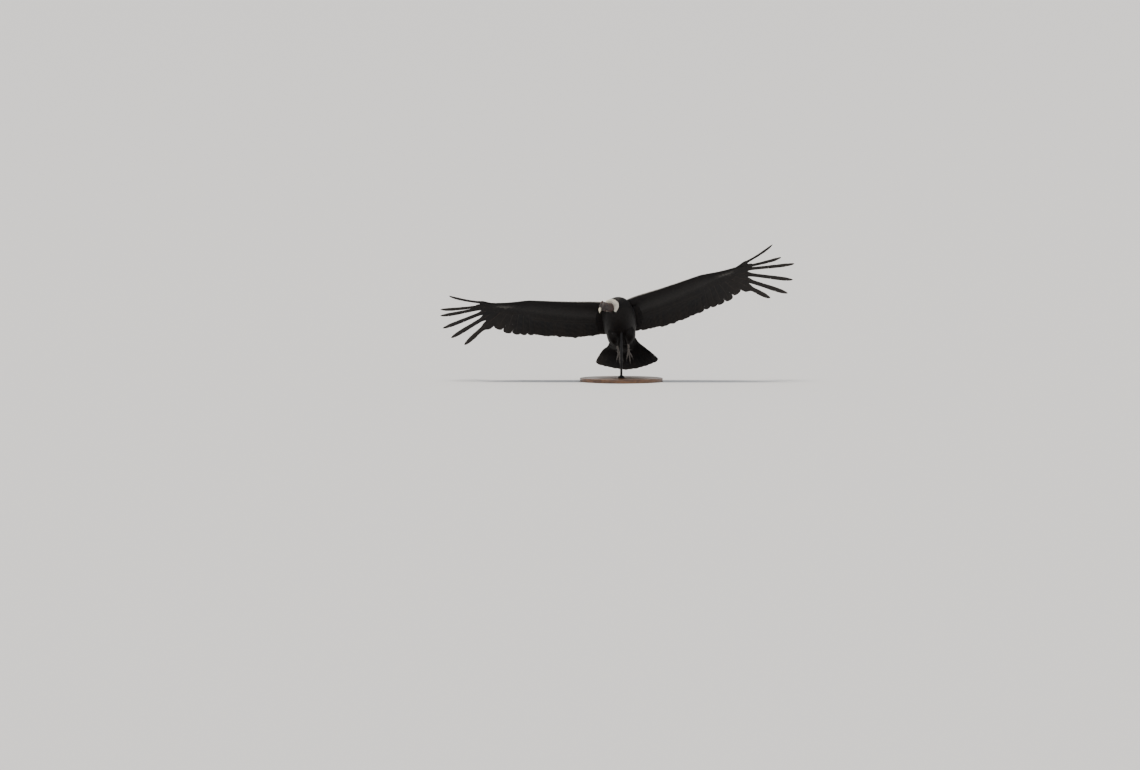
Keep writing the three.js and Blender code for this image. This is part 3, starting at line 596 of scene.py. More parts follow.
def along_path(path):
    """A point and a heading on a smooth curve, by the share of its length."""
    points = np.array(path, float)
    columns = by_share(np.linalg.norm(np.diff(points, axis=0), axis=1), points)

    def at(share):
        share = np.asarray(share, float)
        point, ahead, behind = (
            np.stack([column(s) for column in columns], -1) for s in (share, share + 0.01, share - 0.01)
        )
        return point, unit(ahead - behind)

    return at


def limb_section(path, sizes, grow=0):
    """Ovals along a curved path, from rows of (share, half width, above, below)."""
    centre = along_path(path)
    half, above, below = through_columns(sizes, 1, 2, 3)

    def section(angle, share):
        point, heading = centre(share)
        across = unit(np.cross(heading, (0, 0, 1)))
        upward = np.cross(across, heading)
        wide = (half(share) + grow) * np.cos(angle)
        tall = oval(angle, above(share), below(share), grow)
        return point + across * wide[..., None] + upward * tall[..., None]

    return section


print("halfway along a bent path:", along_path([(0, 0, 0), (0, 10, 4), (0, 20, 0)])(0.5)[0])

# %% Torso, thigh and neck tables
TORSO_FRONT = -0.86 * BODY_WIDTH
TORSO_BACK = 1.1 * BODY_WIDTH
TORSO_LENGTH = TORSO_BACK - TORSO_FRONT
# Share of the length, half width, above and below the long axis, as shares of the body's own sizes
TORSO_SHARES = (
    (0, 0.12, 0.09, 0.19), (0.035, 0.25, 0.21, 0.32), (0.11, 0.37, 0.33, 0.44),
    (0.24, 0.46, 0.42, 0.53), (0.43, 0.5, 0.45, 0.55), (0.6, 0.495, 0.42, 0.5),
    (0.76, 0.48, 0.35, 0.42), (0.9, 0.455, 0.27, 0.32), (1, 0.42, 0.21, 0.24),
)
TORSO_RINGS = [
    (TORSO_FRONT + share * TORSO_LENGTH, half * BODY_WIDTH, above * BODY_DEPTH, below * BODY_DEPTH, 0)
    for share, half, above, below in TORSO_SHARES
]
THIGH_PATH = [(70, 52, -72), (68, 112, -94), (60, 185, -90), (47, 246, -72)]
THIGH_SIZES = [
    (0, 34, 30, 30), (0.15, 44, 36, 36), (0.45, 42, 34, 34), (0.75, 28, 24, 24), (1, 14, 13, 13),
]
NECK_PATH = [(-12, -120, -8), (-36, -182, -44), (-57, -215, -66), (-82, -243, -84), (-104, -272, -107)]
NECK_SIZES = [
    (0, 44, 40, 46), (0.3, 42, 38, 44), (0.5, 38, 36, 39),
    (0.7, 34, 34, 36), (0.85, 31, 31, 33), (1, 27, 27, 29),
]
print("torso", round(TORSO_LENGTH), "mm long")

# %% [markdown]
# ### The wing's surface
# The wing is one gently arched sheet. These functions give its edges and its height over any place in
# the bird's plan, in the left wing's coordinates. The right wing is the mirror image, with its finger
# feathers held a little differently.

# %% Edges of the wing
SHOULDER_X, ELBOW_X, WRIST_X, HAND_TIP_X = (share * HALF_SPAN for share in (0.066, 0.236, 0.483, 0.7))
INNER_X = 0.04 * HALF_SPAN
ARM_DEPTH = 62


def across_span(size, *rows):
    """A smooth function of x, from shares of the half span and of a size."""
    return through([(x * HALF_SPAN, value * size) for x, value in rows])


leading_edge = across_span(
    WING_CHORD, (0.04, -0.32), (0.107, -0.373), (0.24, -0.411), (0.337, -0.445), (0.445, -0.49),
    (0.493, -0.503), (0.548, -0.485), (0.62, -0.464), (0.7, -0.46),
)
trailing_edge = across_span(
    WING_CHORD, (0.06, 0.52), (0.14, 0.558), (0.24, 0.59), (0.33, 0.565), (0.41, 0.515), (0.49, 0.465),
    (0.56, 0.445),
)
arm_rear = across_span(
    WING_CHORD, (0.04, 0.04), (0.14, 0), (0.24, -0.045), (0.36, -0.11), (0.48, -0.2), (0.55, -0.265),
    (0.62, -0.335), (0.67, -0.385), (0.7, -0.43),
)
arm_thickness = across_span(
    ARM_DEPTH, (0.04, 1), (0.107, 0.94), (0.24, 0.74), (0.36, 0.61), (0.48, 0.5), (0.55, 0.4),
    (0.62, 0.29), (0.7, 0.16),
)
ELBOW_CHORD = float(trailing_edge(ELBOW_X) - leading_edge(ELBOW_X))
print("wing from front to rear at the elbow:", round(ELBOW_CHORD), "mm")

# %% Height and thickness of the wing
SHOULDER_HEIGHT = 45
DIHEDRAL_SLOPE = 0.14
TIP_UPSWEEP = 8.4e-5  # extra rise per square millimetre beyond the wrist
ARM_CAMBER = 20
ARM_BULGE, ARM_REAR = 1.95, 0.6
NOSE = 0.22
COVERT_FADE = 45
FLAT_LEVEL = 4.5


def wing_height(x, y):
    """Height of the wing's middle sheet."""
    rise = DIHEDRAL_SLOPE * (x - SHOULDER_X) + TIP_UPSWEEP * np.maximum(0, x - WRIST_X) ** 2
    share = np.clip((y - leading_edge(x)) / WING_CHORD, 0, 1)
    arch = ARM_CAMBER * smoothstep(-x, -HAND_TIP_X, -WRIST_X) * 4 * share * (1 - share)
    return SHOULDER_HEIGHT + rise + arch


def arm_bulge(share):
    """Half thickness of the arm's section, round in front and blunt behind."""
    swell = ARM_BULGE * np.sqrt(np.clip(share, 0, 1)) * np.clip(1 - share, 0, 1)
    return swell + ARM_REAR * np.minimum(share, 1)


def wing_depth(x, y):
    """Half the thickness of the feathered wing: the arm in front, fading to the flat vanes behind it."""
    front, rear = leading_edge(np.maximum(x, INNER_X)), arm_rear(x)
    half = arm_thickness(x) / 2
    share = (y - front) / (rear - front)
    flat = FLAT_LEVEL + (ARM_REAR * half - FLAT_LEVEL) * np.exp(-np.maximum(0, y - rear) / COVERT_FADE)
    return np.where(share < 1, half * arm_bulge(share), flat)


def wing_surface(face):
    """Points of the feathered upper or under surface, by x and by the distance back round the section.
    A distance below 0 leads round the leading edge to the other side."""

    def at(x, back):
        chord = arm_rear(x) - leading_edge(x)
        t = np.abs(back) / chord
        y = leading_edge(x) + chord * t * t / (t + NOSE)
        return np.stack([x, y, wing_height(x, y) + face * np.sign(back) * wing_depth(x, y)], -1)

    return at


print("the wing's sheet rises to", round(float(wing_height(HAND_TIP_X, 0))), "mm at the hand's end")

# %% [markdown]
# ## One skin
# Under its feathers the bird is one skin, so torso, neck, arms, thighs and tail root are joined and
# remeshed into a single closed surface that lies inside the solids by the depth of the coat. The head
# is remeshed three times finer, for its folds, and united with the body under the ruff.

# %% Arm and tail root
COAT_DEPTH = 9
ARM_COAT = 3.5
LEAST_HALF = 1.5
TAIL_DROP = 0.0875  # slope of the tail below the body's axis
TAIL_TWIST = -0.186  # the tail stays level while the body banks
TWIST_LENGTH = 90
TAIL_DOME = 1.6e-4
TAIL_TURN = math.radians(3)  # towards the bird's left
# Distance behind the torso, half width, above, below
TAIL_ROOT = [
    (-60, 112, 52, 60), (0, 105, 42, 47), (40, 96, 30, 33), (78, 79, 16, 18), (104, 47, 7, 8),
    (130, 30, 3, 3),
]
TAIL_ROOT_FROM, TAIL_ROOT_LENGTH = -60, 170
tail_half, tail_above, tail_below = through_columns(TAIL_ROOT, 1, 2, 3)


def arm_section(angle, share):
    x = INNER_X + (HAND_TIP_X - INNER_X) * share
    back = (1 - np.cos(angle)) / 2
    front, rear = leading_edge(x) + ARM_COAT, arm_rear(x)
    y = front + (rear - front) * back
    half = np.maximum(arm_thickness(x) / 2 - ARM_COAT, LEAST_HALF)
    return np.stack([x, y, wing_height(x, y) + np.sign(np.sin(angle)) * half * arm_bulge(back)], -1)


def tail_height(x, back):
    twist = TAIL_TWIST * x * smoothstep(back, 0, TWIST_LENGTH)
    return -TAIL_DROP * back + twist - TAIL_DOME * x * x


def tail_middle(back):
    return np.maximum(0, back) * math.tan(TAIL_TURN)


def tail_root_section(angle, share):
    back = TAIL_ROOT_FROM + TAIL_ROOT_LENGTH * share
    x = tail_middle(back) + 0.9 * tail_half(back) * np.cos(angle)
    tall = oval(angle, tail_above(back), tail_below(back), -0.12 * tail_above(back))
    return np.stack([x, TORSO_BACK + back, tail_height(x, back) + TAIL_DOME * x * x + tall], -1)


print("the tail's root is", round(2 * float(tail_half(0))), "mm wide where it leaves the torso")

# %% Body of the skin
NECK_SECTION = limb_section(NECK_PATH, NECK_SIZES)
THIGH_SECTION = limb_section(THIGH_PATH, THIGH_SIZES, -COAT_DEPTH + 2)
BODY_VOXEL = 5


def sided(section, side):
    return lambda angle, share: mirrored(section(angle, share), side)


def body_of_skin():
    forms = [
        tube("torso form", ring_section(TORSO_RINGS, -COAT_DEPTH), 48, 60),
        tube("tail root form", tail_root_section, 40, 16),
        tube("neck form", NECK_SECTION, 32, 20),
    ]
    for _, side in SIDES:
        forms.append(tube("arm form", sided(arm_section, side), 32, 40))
        forms.append(tube("thigh form", sided(THIGH_SECTION, side), 28, 24))
    body = joined("skin", forms)
    remesh(body, BODY_VOXEL, 6)
    return body


skin = body_of_skin()
print("body of the skin:", len(skin.data.polygons), "faces")

# %% [markdown]
# ### The head
# The head is bare, dark and deeply creased. A male has a fleshy comb from the bill over the crown, a
# fold that hangs under the throat, and rolls of skin round the neck. The forms are united finely,
# creases are pressed in by moving points along their normals, and sockets are cut for the eyes.

# %% The head's own frame
HEAD_PLACE = Vector((-117, -301, -119))
head_back = -Vector((-0.39, -0.555, -0.734)).normalized()
head_left = head_back.cross(Vector((-0.076, -0.775, 0.627))).normalized()
head_up = head_left.cross(head_back)
HEAD = Matrix.Translation(HEAD_PLACE) @ Matrix((head_left, head_back, head_up)).transposed().to_4x4()
HEAD_ROOM = BIRD @ HEAD


def in_head(piece):
    """A piece's points in the head's own frame."""
    return moved(points_of(piece), HEAD_ROOM.inverted())


print("the head is", round(HEAD_ROOM.translation.z, 3), "m above the floor")

# %% Skull, comb, wattle and lids
# y, half width, above, below, height of the middle
HEAD_RINGS = [
    (62, 18, 22, 22, -12), (54, 26, 30, 30, -10), (36, 30, 35, 34, -7), (16, 31, 36, 34, -4),
    (-4, 29, 34, 31, -3), (-22, 24, 28, 26, -5), (-38, 18.5, 22, 21, -7), (-50, 15.5, 18, 17, -8),
]
COMB_RINGS = [
    (-60, 3.5, 5, 2, 8), (-52, 5.5, 13, 6, 9), (-44, 6.4, 19, 9, 11), (-38, 7, 21, 10, 12),
    (-30, 6.2, 18.5, 11, 16), (-24, 7.2, 19.5, 12, 19), (-17, 6.4, 19, 12, 21), (-10, 7.2, 22, 12, 23),
    (-3, 6.4, 18, 12, 25), (4, 6.8, 17.5, 12, 27), (16, 6, 14.5, 12, 27), (25, 4.5, 9, 10, 26),
    (33, 2, 3, 6, 24),
]
WATTLE_PATH = [(0, -24, -27), (0, 4, -37), (0, 34, -41), (0, 58, -34)]
WATTLE_SIZES = [(0, 2, 4, 3), (0.35, 3.6, 8, 8), (0.7, 4.2, 9, 7), (1, 3, 7, 3)]
EYE_RADIUS = 9
EYE_PLACE = np.array((20.5, -8, 6))
LID_PLACE = np.array((26.6, -8.6, 6))
LID_TURN = math.radians(78)
LID_STRETCH = (1.08, 0.92, 0.8)
HEAD_VOXEL = 1.4


def eyelid(side):
    """A fold of skin round the eye."""
    lid = begin(
        "eyelid", bpy.ops.mesh.primitive_torus_add,
        major_radius=9.2, minor_radius=2.2, major_segments=36, minor_segments=12,
    )
    turn = np.array(Matrix.Rotation(side * LID_TURN, 3, "Y"))
    points = (points_of(lid) * LID_STRETCH) @ turn.T + LID_PLACE * (side, 1, 1)
    set_points(lid, moved(points, HEAD_ROOM))
    return lid


def head_of_skin():
    forms = [
        tube("skull form", ring_section(HEAD_RINGS), 48, 48, HEAD_ROOM),
        tube("comb form", ring_section(COMB_RINGS), 24, 50, HEAD_ROOM),
        tube("wattle form", limb_section(WATTLE_PATH, WATTLE_SIZES), 20, 30, HEAD_ROOM),
        tube("bare neck form", NECK_SECTION, 48, 40),
    ]
    forms += [eyelid(side) for _, side in SIDES]
    head = joined("head form", forms)
    remesh(head, HEAD_VOXEL, 3)
    return head


head = head_of_skin()
print("head form:", len(head.data.vertices), "points")

# %% Creases of the head
ROLL_SPACING = 11
ROLL_HEIGHT = 1.5
WRINKLE_DEPTH, FINE_DEPTH = 0.9, 0.5
EAR_PLACE, EAR_SIZE = np.array((29, 20, -6)), (9, 6.5, 4.5)
EAR_DEPTH, EAR_RIM = 4, 1.1
MOUTH_LINE = [(-56, -14.5), (-40, -14.2), (-26, -16), (-12, -20.5)]
MOUTH_DEPTH, LIP_HEIGHT = 2.4, 0.7


def neck_rolls(x, y, z):
    """Round rolls across the neck, slanting and a little wavy, with sharp valleys between them."""
    return np.abs(np.sin((y + 0.35 * z + 5 * np.sin(x / 13)) / ROLL_SPACING * math.pi)) ** 0.6


def fold(points, wavelength, seed):
    """Ridged noise between 0 and 1: narrow valleys between rounded rolls."""
    rows = [noise.noise(Vector(p) / wavelength + Vector((seed, 0, 0))) for p in points]
    return np.minimum(1, np.abs(np.array(rows)) * 3.2)


def crease_head(head):
    """Rolls on the neck, wrinkles all over, an ear hole with its rim, and lips along the mouth line."""
    points = in_head(head)
    turn = np.array(HEAD_ROOM.inverted().to_3x3())
    normals = unit(read(head.data.vertices, "normal", 3).astype(float) @ turn.T)
    x, y, z = points.T
    on_neck = smoothstep(y, 34, 58)
    push = ROLL_HEIGHT * on_neck * (neck_rolls(x, y, z) - 0.7)
    push += WRINKLE_DEPTH * (fold(points * (1, 0.6, 1), 9, 3) - 0.8) * (1 - 0.5 * on_neck)
    push += FINE_DEPTH * (fold(points, 4.5, 8) - 0.8)
    from_ear = np.linalg.norm((folded(points) - EAR_PLACE) / EAR_SIZE, axis=1)
    push -= EAR_DEPTH * smoothstep(-from_ear, -1.15, -0.4)
    push += EAR_RIM * np.exp(-((from_ear - 1.45) ** 2) / 0.06)
    from_mouth = z - through(MOUTH_LINE)(y)
    on_cheek = smoothstep(-y, 11, 16) * (np.abs(x) > 6)
    line = np.exp(-(from_mouth**2) / 1.8) * on_cheek
    lips = np.exp(-((np.abs(from_mouth) - 2.6) ** 2) / 2.2) * on_cheek
    push += LIP_HEIGHT * lips - MOUTH_DEPTH * line
    from_eye = np.linalg.norm(folded(points) - EYE_PLACE, axis=1)
    push = np.where(from_eye < EYE_RADIUS + 3, 0.15 * push, push)
    print("pressed in by up to", round(-push.min(), 1), "mm, raised by up to", round(push.max(), 1), "mm")
    set_points(head, moved(points + normals * push[:, None], HEAD_ROOM))


crease_head(head)


# %% Cut the eye sockets and unite the skin
def ball(name, radius, place, segments=32, rings=20):
    """A ball at a place in the head's frame."""
    add_ball = bpy.ops.mesh.primitive_uv_sphere_add
    made = begin(name, add_ball, radius=radius, segments=segments, ring_count=rings)
    set_points(made, moved(points_of(made) + place, HEAD_ROOM))
    return made


def in_order(piece):
    """A new ball's faces are listed in another order in each run, which reaches the skin that it cuts
    and the feathers scattered there, so they are sorted by their distance from the room's origin."""
    with editing(piece):
        bpy.ops.mesh.sort_elements(type="CURSOR_DISTANCE", elements={"FACE"})
    return piece


def cut(piece, tool, operation="DIFFERENCE"):
    apply_modifier(piece, "BOOLEAN", object=tool, operation=operation, solver="MANIFOLD")
    bpy.data.objects.remove(tool)


for _, side in SIDES:
    cut(head, in_order(ball("socket", EYE_RADIUS + 0.2, EYE_PLACE * (side, 1, 1))))
cut(skin, head, "UNION")
print("whole skin:", len(skin.data.vertices), "points")

# %% [markdown]
# ### Living colour
# The face is a dark brown grey, the comb and wattle a redder brown, and the neck rolls are tinged
# with dull red. The skin under the feathers is nearly black, so that no pale gap shows between them.
# The places are in millimetres in the head's frame.

# %% Paint the skin
RUFF_CENTRE = np.array((-58, -211, -70))
RUFF_AXIS = unit(np.array((-0.55, -0.68, -0.48)))
FACE, COMB, WATTLE, NECK, HIDDEN = (
    np.array(linear(colour)[:3]) for colour in ("#2b2122", "#44261f", "#40241f", "#33231f", "#0b0a0b")
)


def paint_skin(skin):
    x, y, z = in_head(skin).T
    bird = moved(points_of(skin), BIRD.inverted())
    comb = smoothstep(z, 29, 33) * smoothstep(-np.abs(x), -9, -7) * (y < 40)
    wattle = smoothstep(-z, 36, 41) * smoothstep(-np.abs(x), -9, -6) * (y < 66)
    neck = smoothstep(y, 40, 62)
    behind_ruff = smoothstep((bird - RUFF_CENTRE) @ -RUFF_AXIS, 4, 12)
    hidden = np.maximum(behind_ruff, np.abs(bird[:, 0] + 80) > 120)
    colour = np.broadcast_to(FACE, bird.shape)
    for share, other in ((neck, NECK), (comb, COMB), (wattle, WATTLE), (hidden, HIDDEN)):
        colour = colour + share[:, None] * (other - colour)
    set_colours(skin.data, "tint", np.c_[colour, np.ones(len(colour))])


paint_skin(skin)
dress(skin, BARE_SKIN, ("torso", "neck", "head", "comb", "thigh_left", "thigh_right"), 180)

# %% [markdown]
# ## Feathers
# A feather is a thin closed vane with a raised shaft. Three vanes of different fineness are modelled
# once: a long one with splits between its barbs for the flight feathers, a middling one for coverts,
# and a small one for the body. Each is copied many times into joined meshes by arrays, every copy
# with its own length, width, curve and tone.


# %% Templates
class Template:
    """A small shape as arrays: its points, its corners, and where each face's run of corners starts."""

    def __init__(self, piece):
        self.points = points_of(piece)
        self.corners = read(piece.data.loops, "vertex_index", kind=np.int32)
        self.starts = read(piece.data.polygons, "loop_start", kind=np.int32)
        runs = np.split(self.corners, self.starts[1:])
        self.flipped = np.concatenate([run[::-1] for run in runs])
        bpy.data.objects.remove(piece)


def straight(angle, share):
    return np.stack([np.cos(angle), share, np.sin(angle)], -1)


def shaft_template(sides, rings):
    return Template(tube("shaft", straight, sides, rings, Matrix()))


SHAFT = shaft_template(6, 16)
print("points in a shaft:", len(SHAFT.points))

# %% Vanes
BARBS_FROM = 0.5  # splits start halfway out across the web
SPLIT_GAPE = (0.03, 0.28)  # at their inner end and at the edge, as shares of a row
FLIGHT_ROWS = 46


def open_splits(points, splits, rows):
    """Draw the two sides of each split together to a narrow V."""
    x, y, _ = points.T
    for split in splits:
        from_middle = y - (abs(split) + 0.5) / rows
        beside = (x * split > 0) & (np.abs(x) > 0.4) & (np.abs(from_middle) < 0.51 / rows)
        gape = np.interp(np.abs(x), (BARBS_FROM, 1), SPLIT_GAPE)
        y = points[:, 1] = np.where(beside, y + (gape - 1) * from_middle, y)


def vane_template(columns, rows, splits=()):
    """A vane from -1 to 1 across and 0 to 1 along. Its faces meet at the rim, and z tells them apart.
    A split is the row, negative on the other side, where barbs have come apart."""

    def is_split(middle, _):
        return math.copysign(int(middle.y * rows), middle.x) in splits and abs(middle.x) > BARBS_FROM

    vane = begin("vane", bpy.ops.mesh.primitive_grid_add, x_subdivisions=columns, y_subdivisions=rows, size=2)
    with editing(vane):
        bpy.ops.transform.resize(value=(1, 0.5, 1))
        bpy.ops.transform.translate(value=(0, 0.5, 0))
        if splits:
            choose_faces(vane, is_split)
            bpy.ops.mesh.delete(type="FACE")
    apply_modifier(vane, "SOLIDIFY", thickness=0.2, offset=0)
    points = points_of(vane)
    open_splits(points, splits, rows)
    x, y, z = points.T
    rim = (np.abs(x) > 0.999) | (y < 0.001) | (y > 0.999)
    points[:, 2] = np.where(rim, 0, np.sign(z))
    set_points(vane, points)
    with editing(vane):
        bpy.ops.mesh.remove_doubles(threshold=1e-4)
        bpy.ops.mesh.normals_make_consistent(inside=False)
    return Template(vane)


FLIGHT_VANES = [
    vane_template(8, FLIGHT_ROWS, splits)
    for splits in ((29, -24, -37, 38), (33, -30, -41, 40), (24, -34, 36, -42), (-27, 31, -39, 41))
]
COVERT_VANE = vane_template(4, 9)
BODY_VANE = vane_template(2, 4)
print("points in a flight vane:", len(FLIGHT_VANES[0].points), "and in a body vane:", len(BODY_VANE.points))


# %% Gather copies into one mesh
class Coat:
    """Copies of templates, gathered for one joined mesh with its marks and its two UV maps."""

    def __init__(self):
        self.rows = []
        self.points = self.loops = 0

    def add(self, template, laid, mark, barbs, bake, flip=False):
        count, each = laid.shape[:2]
        corners = template.flipped if flip else template.corners
        copies = np.arange(count)[:, None]
        corner_run = (corners + copies * each + self.points).ravel()
        starts = (template.starts + copies * len(corners) + self.loops).ravel()
        per_point = (laid.reshape(-1, 3), mark.reshape(-1, 4), barbs.reshape(-1, 2), bake.reshape(-1, 2))
        self.rows.append((*per_point, corner_run, starts))
        self.points += count * each
        self.loops += count * len(corners)

    def build(self, name, material, slot, nodes=()):
        points, marks, barbs, bake, corners, starts = (np.concatenate(column) for column in zip(*self.rows))
        mesh = bpy.data.meshes.new(name)
        mesh.vertices.add(len(points))
        mesh.vertices.foreach_set("co", moved(points, BIRD).astype(np.float32).ravel())
        mesh.loops.add(len(corners))
        mesh.loops.foreach_set("vertex_index", corners.astype(np.int32))
        mesh.polygons.add(len(starts))
        mesh.polygons.foreach_set("loop_start", starts.astype(np.int32))
        mesh.update(calc_edges=True)
        set_colours(mesh, "mark", marks)
        for layer, values in (("OFBake", bake), ("Barbs", barbs)):
            uv = mesh.uv_layers.new(name=layer)
            uv.data.foreach_set("uv", values[corners].astype(np.float32).ravel())
        piece = bpy.data.objects.new(name, mesh)
        bpy.context.scene.collection.objects.link(piece)
        return dress(piece, material, nodes, 50)


PATCH = 0.003


def patch_at(places):
    """A small patch of the bake map at each root's place on the unwrap."""
    places = np.reshape(places, (-1, 1, 2))
    return lambda across, share: places + PATCH * np.stack([across / 2, share - 0.5], -1)


def patches(template, places):
    return patch_at(places)(*template.points.T[:2])


def varied(draw, size, amount, many=None):
    """A size, or many sizes, each a little larger or smaller by chance."""
    return size * (1 + amount * draw.uniform(-1, 1, many))


print("bake patches that would fit side by side:", round(1 / PATCH**2))

# %% [markdown]
# ### Flight feathers
# The secondaries and the inner hand feathers close the trailing edge. The six outermost are free
# fingers, slim beyond a notch in the web, and bend up at their tips under the bird's weight. Each
# feather's leading edge lies over the next one's trailing edge. On a male's upper side the outer webs
# of the secondaries are white, which the photo's view from below doesn't show.

# %% Where the flight feathers are
SECONDARIES = 24
ROOT_SINK = 40
PAST_ELBOW = 6 * 36  # the innermost ones grow on the upper arm
SECONDARY_STEP = (WRIST_X - ELBOW_X + PAST_ELBOW) / SECONDARIES
# Tips as shares of the half span and of the chord
INNER_TIPS = ((0.507, 0.46), (0.549, 0.45), (0.59, 0.43), (0.641, 0.383), (0.691, 0.26))
FINGER_TIPS = {
    LEFT: ((0.873, 0.654), (0.977, 0.69), (1.013, 0.384), (1.029, -0.013), (0.955, -0.283), (0.912, -0.672)),
    RIGHT: ((0.893, 0.717), (0.961, 0.535), (0.997, 0.279), (0.998, -0.047), (0.991, -0.2), (0.928, -0.56)),
}
HAND_ROOT_X = (WRIST_X + 14, HAND_TIP_X - 21)
HAND_ROOT_Y = (-0.415, -0.447)
INNER = len(INNER_TIPS)
HAND_FEATHERS = INNER + len(FINGER_TIPS[LEFT])
FINGER_LIFTS = (0, 2, 6, 14, 24, 36)


def hand_feather(i, side):
    """Root, heading in degrees, length and finger number of one hand feather."""
    tips = (*INNER_TIPS, *FINGER_TIPS[side])
    share = i / (HAND_FEATHERS - 1)
    root_x, root_y = (np.interp(share, (0, 1), ends) for ends in (HAND_ROOT_X, HAND_ROOT_Y))
    root = np.array((root_x, WING_CHORD * root_y))
    reach = np.array((tips[i][0] * HALF_SPAN, tips[i][1] * WING_CHORD)) - root
    return root, math.degrees(math.atan2(reach[1], reach[0])), np.hypot(*reach), i - INNER


def secondary_place(i, side):
    x = WRIST_X - SECONDARY_STEP * (i + 0.5)
    rear = arm_rear(x)
    reach = (trailing_edge(x) - rear) * (1 + 0.03 * side)
    return x, rear, reach


for name, side in SIDES:
    lengths = [round(hand_feather(i, side)[2]) for i in range(INNER, HAND_FEATHERS)]
    print(name, "finger feathers, mm:", lengths)

# %% Widths of the webs
FREE_X = 0.752 * HALF_SPAN
SECONDARY_HALF = 27
FINGER_HALF = 41
OUTERMOST_HALF = 26
INNERMOST_WEB = 51  # broad, to close the gap to the inner hand feathers
FINGER_SLIM = (23, 22, 21, 20, 19, 15)


def rounded(rows, tip=0.93):
    """Width along a vane from (share, width) rows, drawn in to a round tip."""
    width = through(rows)

    def at(share):
        t = np.clip((share - tip) / (1 - tip), 0, 1)
        return width(share) * np.sqrt(np.maximum(1 - t**2.4, 0.004))

    return at


def web_widths(half, sunk, tip=0.93):
    rows = ((0, 3), (sunk * 0.5, half * 0.7), (sunk, half), (0.75, half), (1, half * 0.78))
    return rounded([(s, w * 0.94) for s, w in rows], tip), rounded(rows, tip)


def finger_widths(root, heading, length, finger):
    """The leading and the trailing web, broad up to the notch and slim beyond it."""
    free = (FREE_X - root[0]) / math.cos(math.radians(heading)) / length
    slim = FINGER_SLIM[finger]
    half = OUTERMOST_HALF if finger == len(FINGER_SLIM) - 1 else FINGER_HALF
    broad, later = (INNERMOST_WEB, 0.015) if finger == 0 else (half, 0)
    lead_rows = [
        (0, 4), (0.09, 7), (free * 0.5, half * 0.6), (free - 0.07, half * 0.7),
        (free + 0.03, slim * 0.8), (0.8, slim * 0.8), (0.93, slim * 0.55), (1, slim * 0.3),
    ]
    trail_rows = [
        (0, 4), (0.09, 7), (free * 0.5, half), (free - 0.07 + later, broad),
        (free + 0.03 + later, slim), (0.8, slim), (0.93, slim * 0.75), (1, slim * 0.4),
    ]
    return rounded(lead_rows, 0.95), rounded(trail_rows, 0.95)


print("a finger feather's web is", FINGER_HALF, "mm broad and", FINGER_SLIM[0], "mm beyond the notch")

# %% Laying one flight feather
SHINGLE_TILT = 0.085
BARB_SHIFT = 0.7  # rows of the mesh slant outwards as barbs do
SHAFT_END = 0.975
SHAFT_TAPER = 0.82
SHAFT_MARK = 0.9


def lay_vane(coat, draw, template, root, heading, length, widths, height, shaft, cell, level=0,
             tilt=SHINGLE_TILT, lift=0, bow=0, cup=1.2, thick=0.35, pale=None, side=LEFT):
    """One vane and its shaft on a height surface, added to a coat. widths are the two webs' own."""
    heading = math.radians(heading)
    along = np.array((math.cos(heading), math.sin(heading)))
    leading = np.array((along[1], -along[0]))
    lead, trail = widths
    tone = draw.uniform(0, 1)

    def place(offset, share, over):
        shift = offset + bow * length * 4 * share * (1 - share)
        slant = BARB_SHIFT * np.abs(offset) * smoothstep(share, 0, 0.12) * smoothstep(-share, -1, -0.84)
        x, y = (root[k] + along[k] * (share * length + slant) + leading[k] * shift for k in (0, 1))
        raised = level + lift * np.maximum(0, (share - 0.35) / 0.65) ** 2
        return np.stack([x, y, height(x, y) + raised + tilt * offset + over], -1)

    def lay(template, offset, share, over, white, quill, across):
        mark = np.stack([np.full_like(share, tone), white, np.full_like(share, quill), share], -1)
        laid = mirrored(place(offset, share, over), side)[None]
        barbs = np.stack([offset, share * length], -1) * METRE
        coat.add(template, laid, mark, barbs, cell(across, share), side == RIGHT)

    across, share, face = template.points.T
    share = 1 - (1 - share) ** 1.15
    offset = across * np.where(across > 0, lead(share), trail(share))
    ripple = 0.5 * np.sin(share * 37 + tone * 20) * across
    white = pale(across, share, face) if pale else np.zeros_like(share)
    lay(template, offset, share, face * thick - cup * across**2 + ripple, white, 0, across)
    across, share, face = SHAFT.points.T
    share = SHAFT_END * share
    radius = shaft * (1 - SHAFT_TAPER * share)
    lay(SHAFT, across * radius, share, face * radius, np.zeros_like(share), SHAFT_MARK, across * 0.05)


def cell_of(i, count):
    """Each long feather's own strip of the bake map, from its root at the bottom to its tip."""
    low, wide = i / count, 1 / count

    def at(across, share):
        return np.stack([low + wide * (0.5 + 0.45 * across), 0.02 + 0.96 * share], -1)[None]

    return at


print("a shaft tapers to", round(1 - SHAFT_TAPER * SHAFT_END, 2), "of its width at the root")


# %% Flight feathers of both wings
def white_web(across, share, face):
    """The white outer web of a male's secondary, on the upper side only."""
    between_ends = smoothstep(share, 0.3, 0.4) * smoothstep(-share, -0.95, -0.86)
    return (face > 0) * smoothstep(across, 0.02, 0.12) * between_ends


def panel(pale, x, draw):
    """The white panel fades out over the innermost feathers and stops at the wrist."""
    strength = smoothstep(x / HALF_SPAN, 0.125, 0.19) * draw.uniform(0.9, 1)
    return lambda across, share, face: strength * pale(across, share, face)


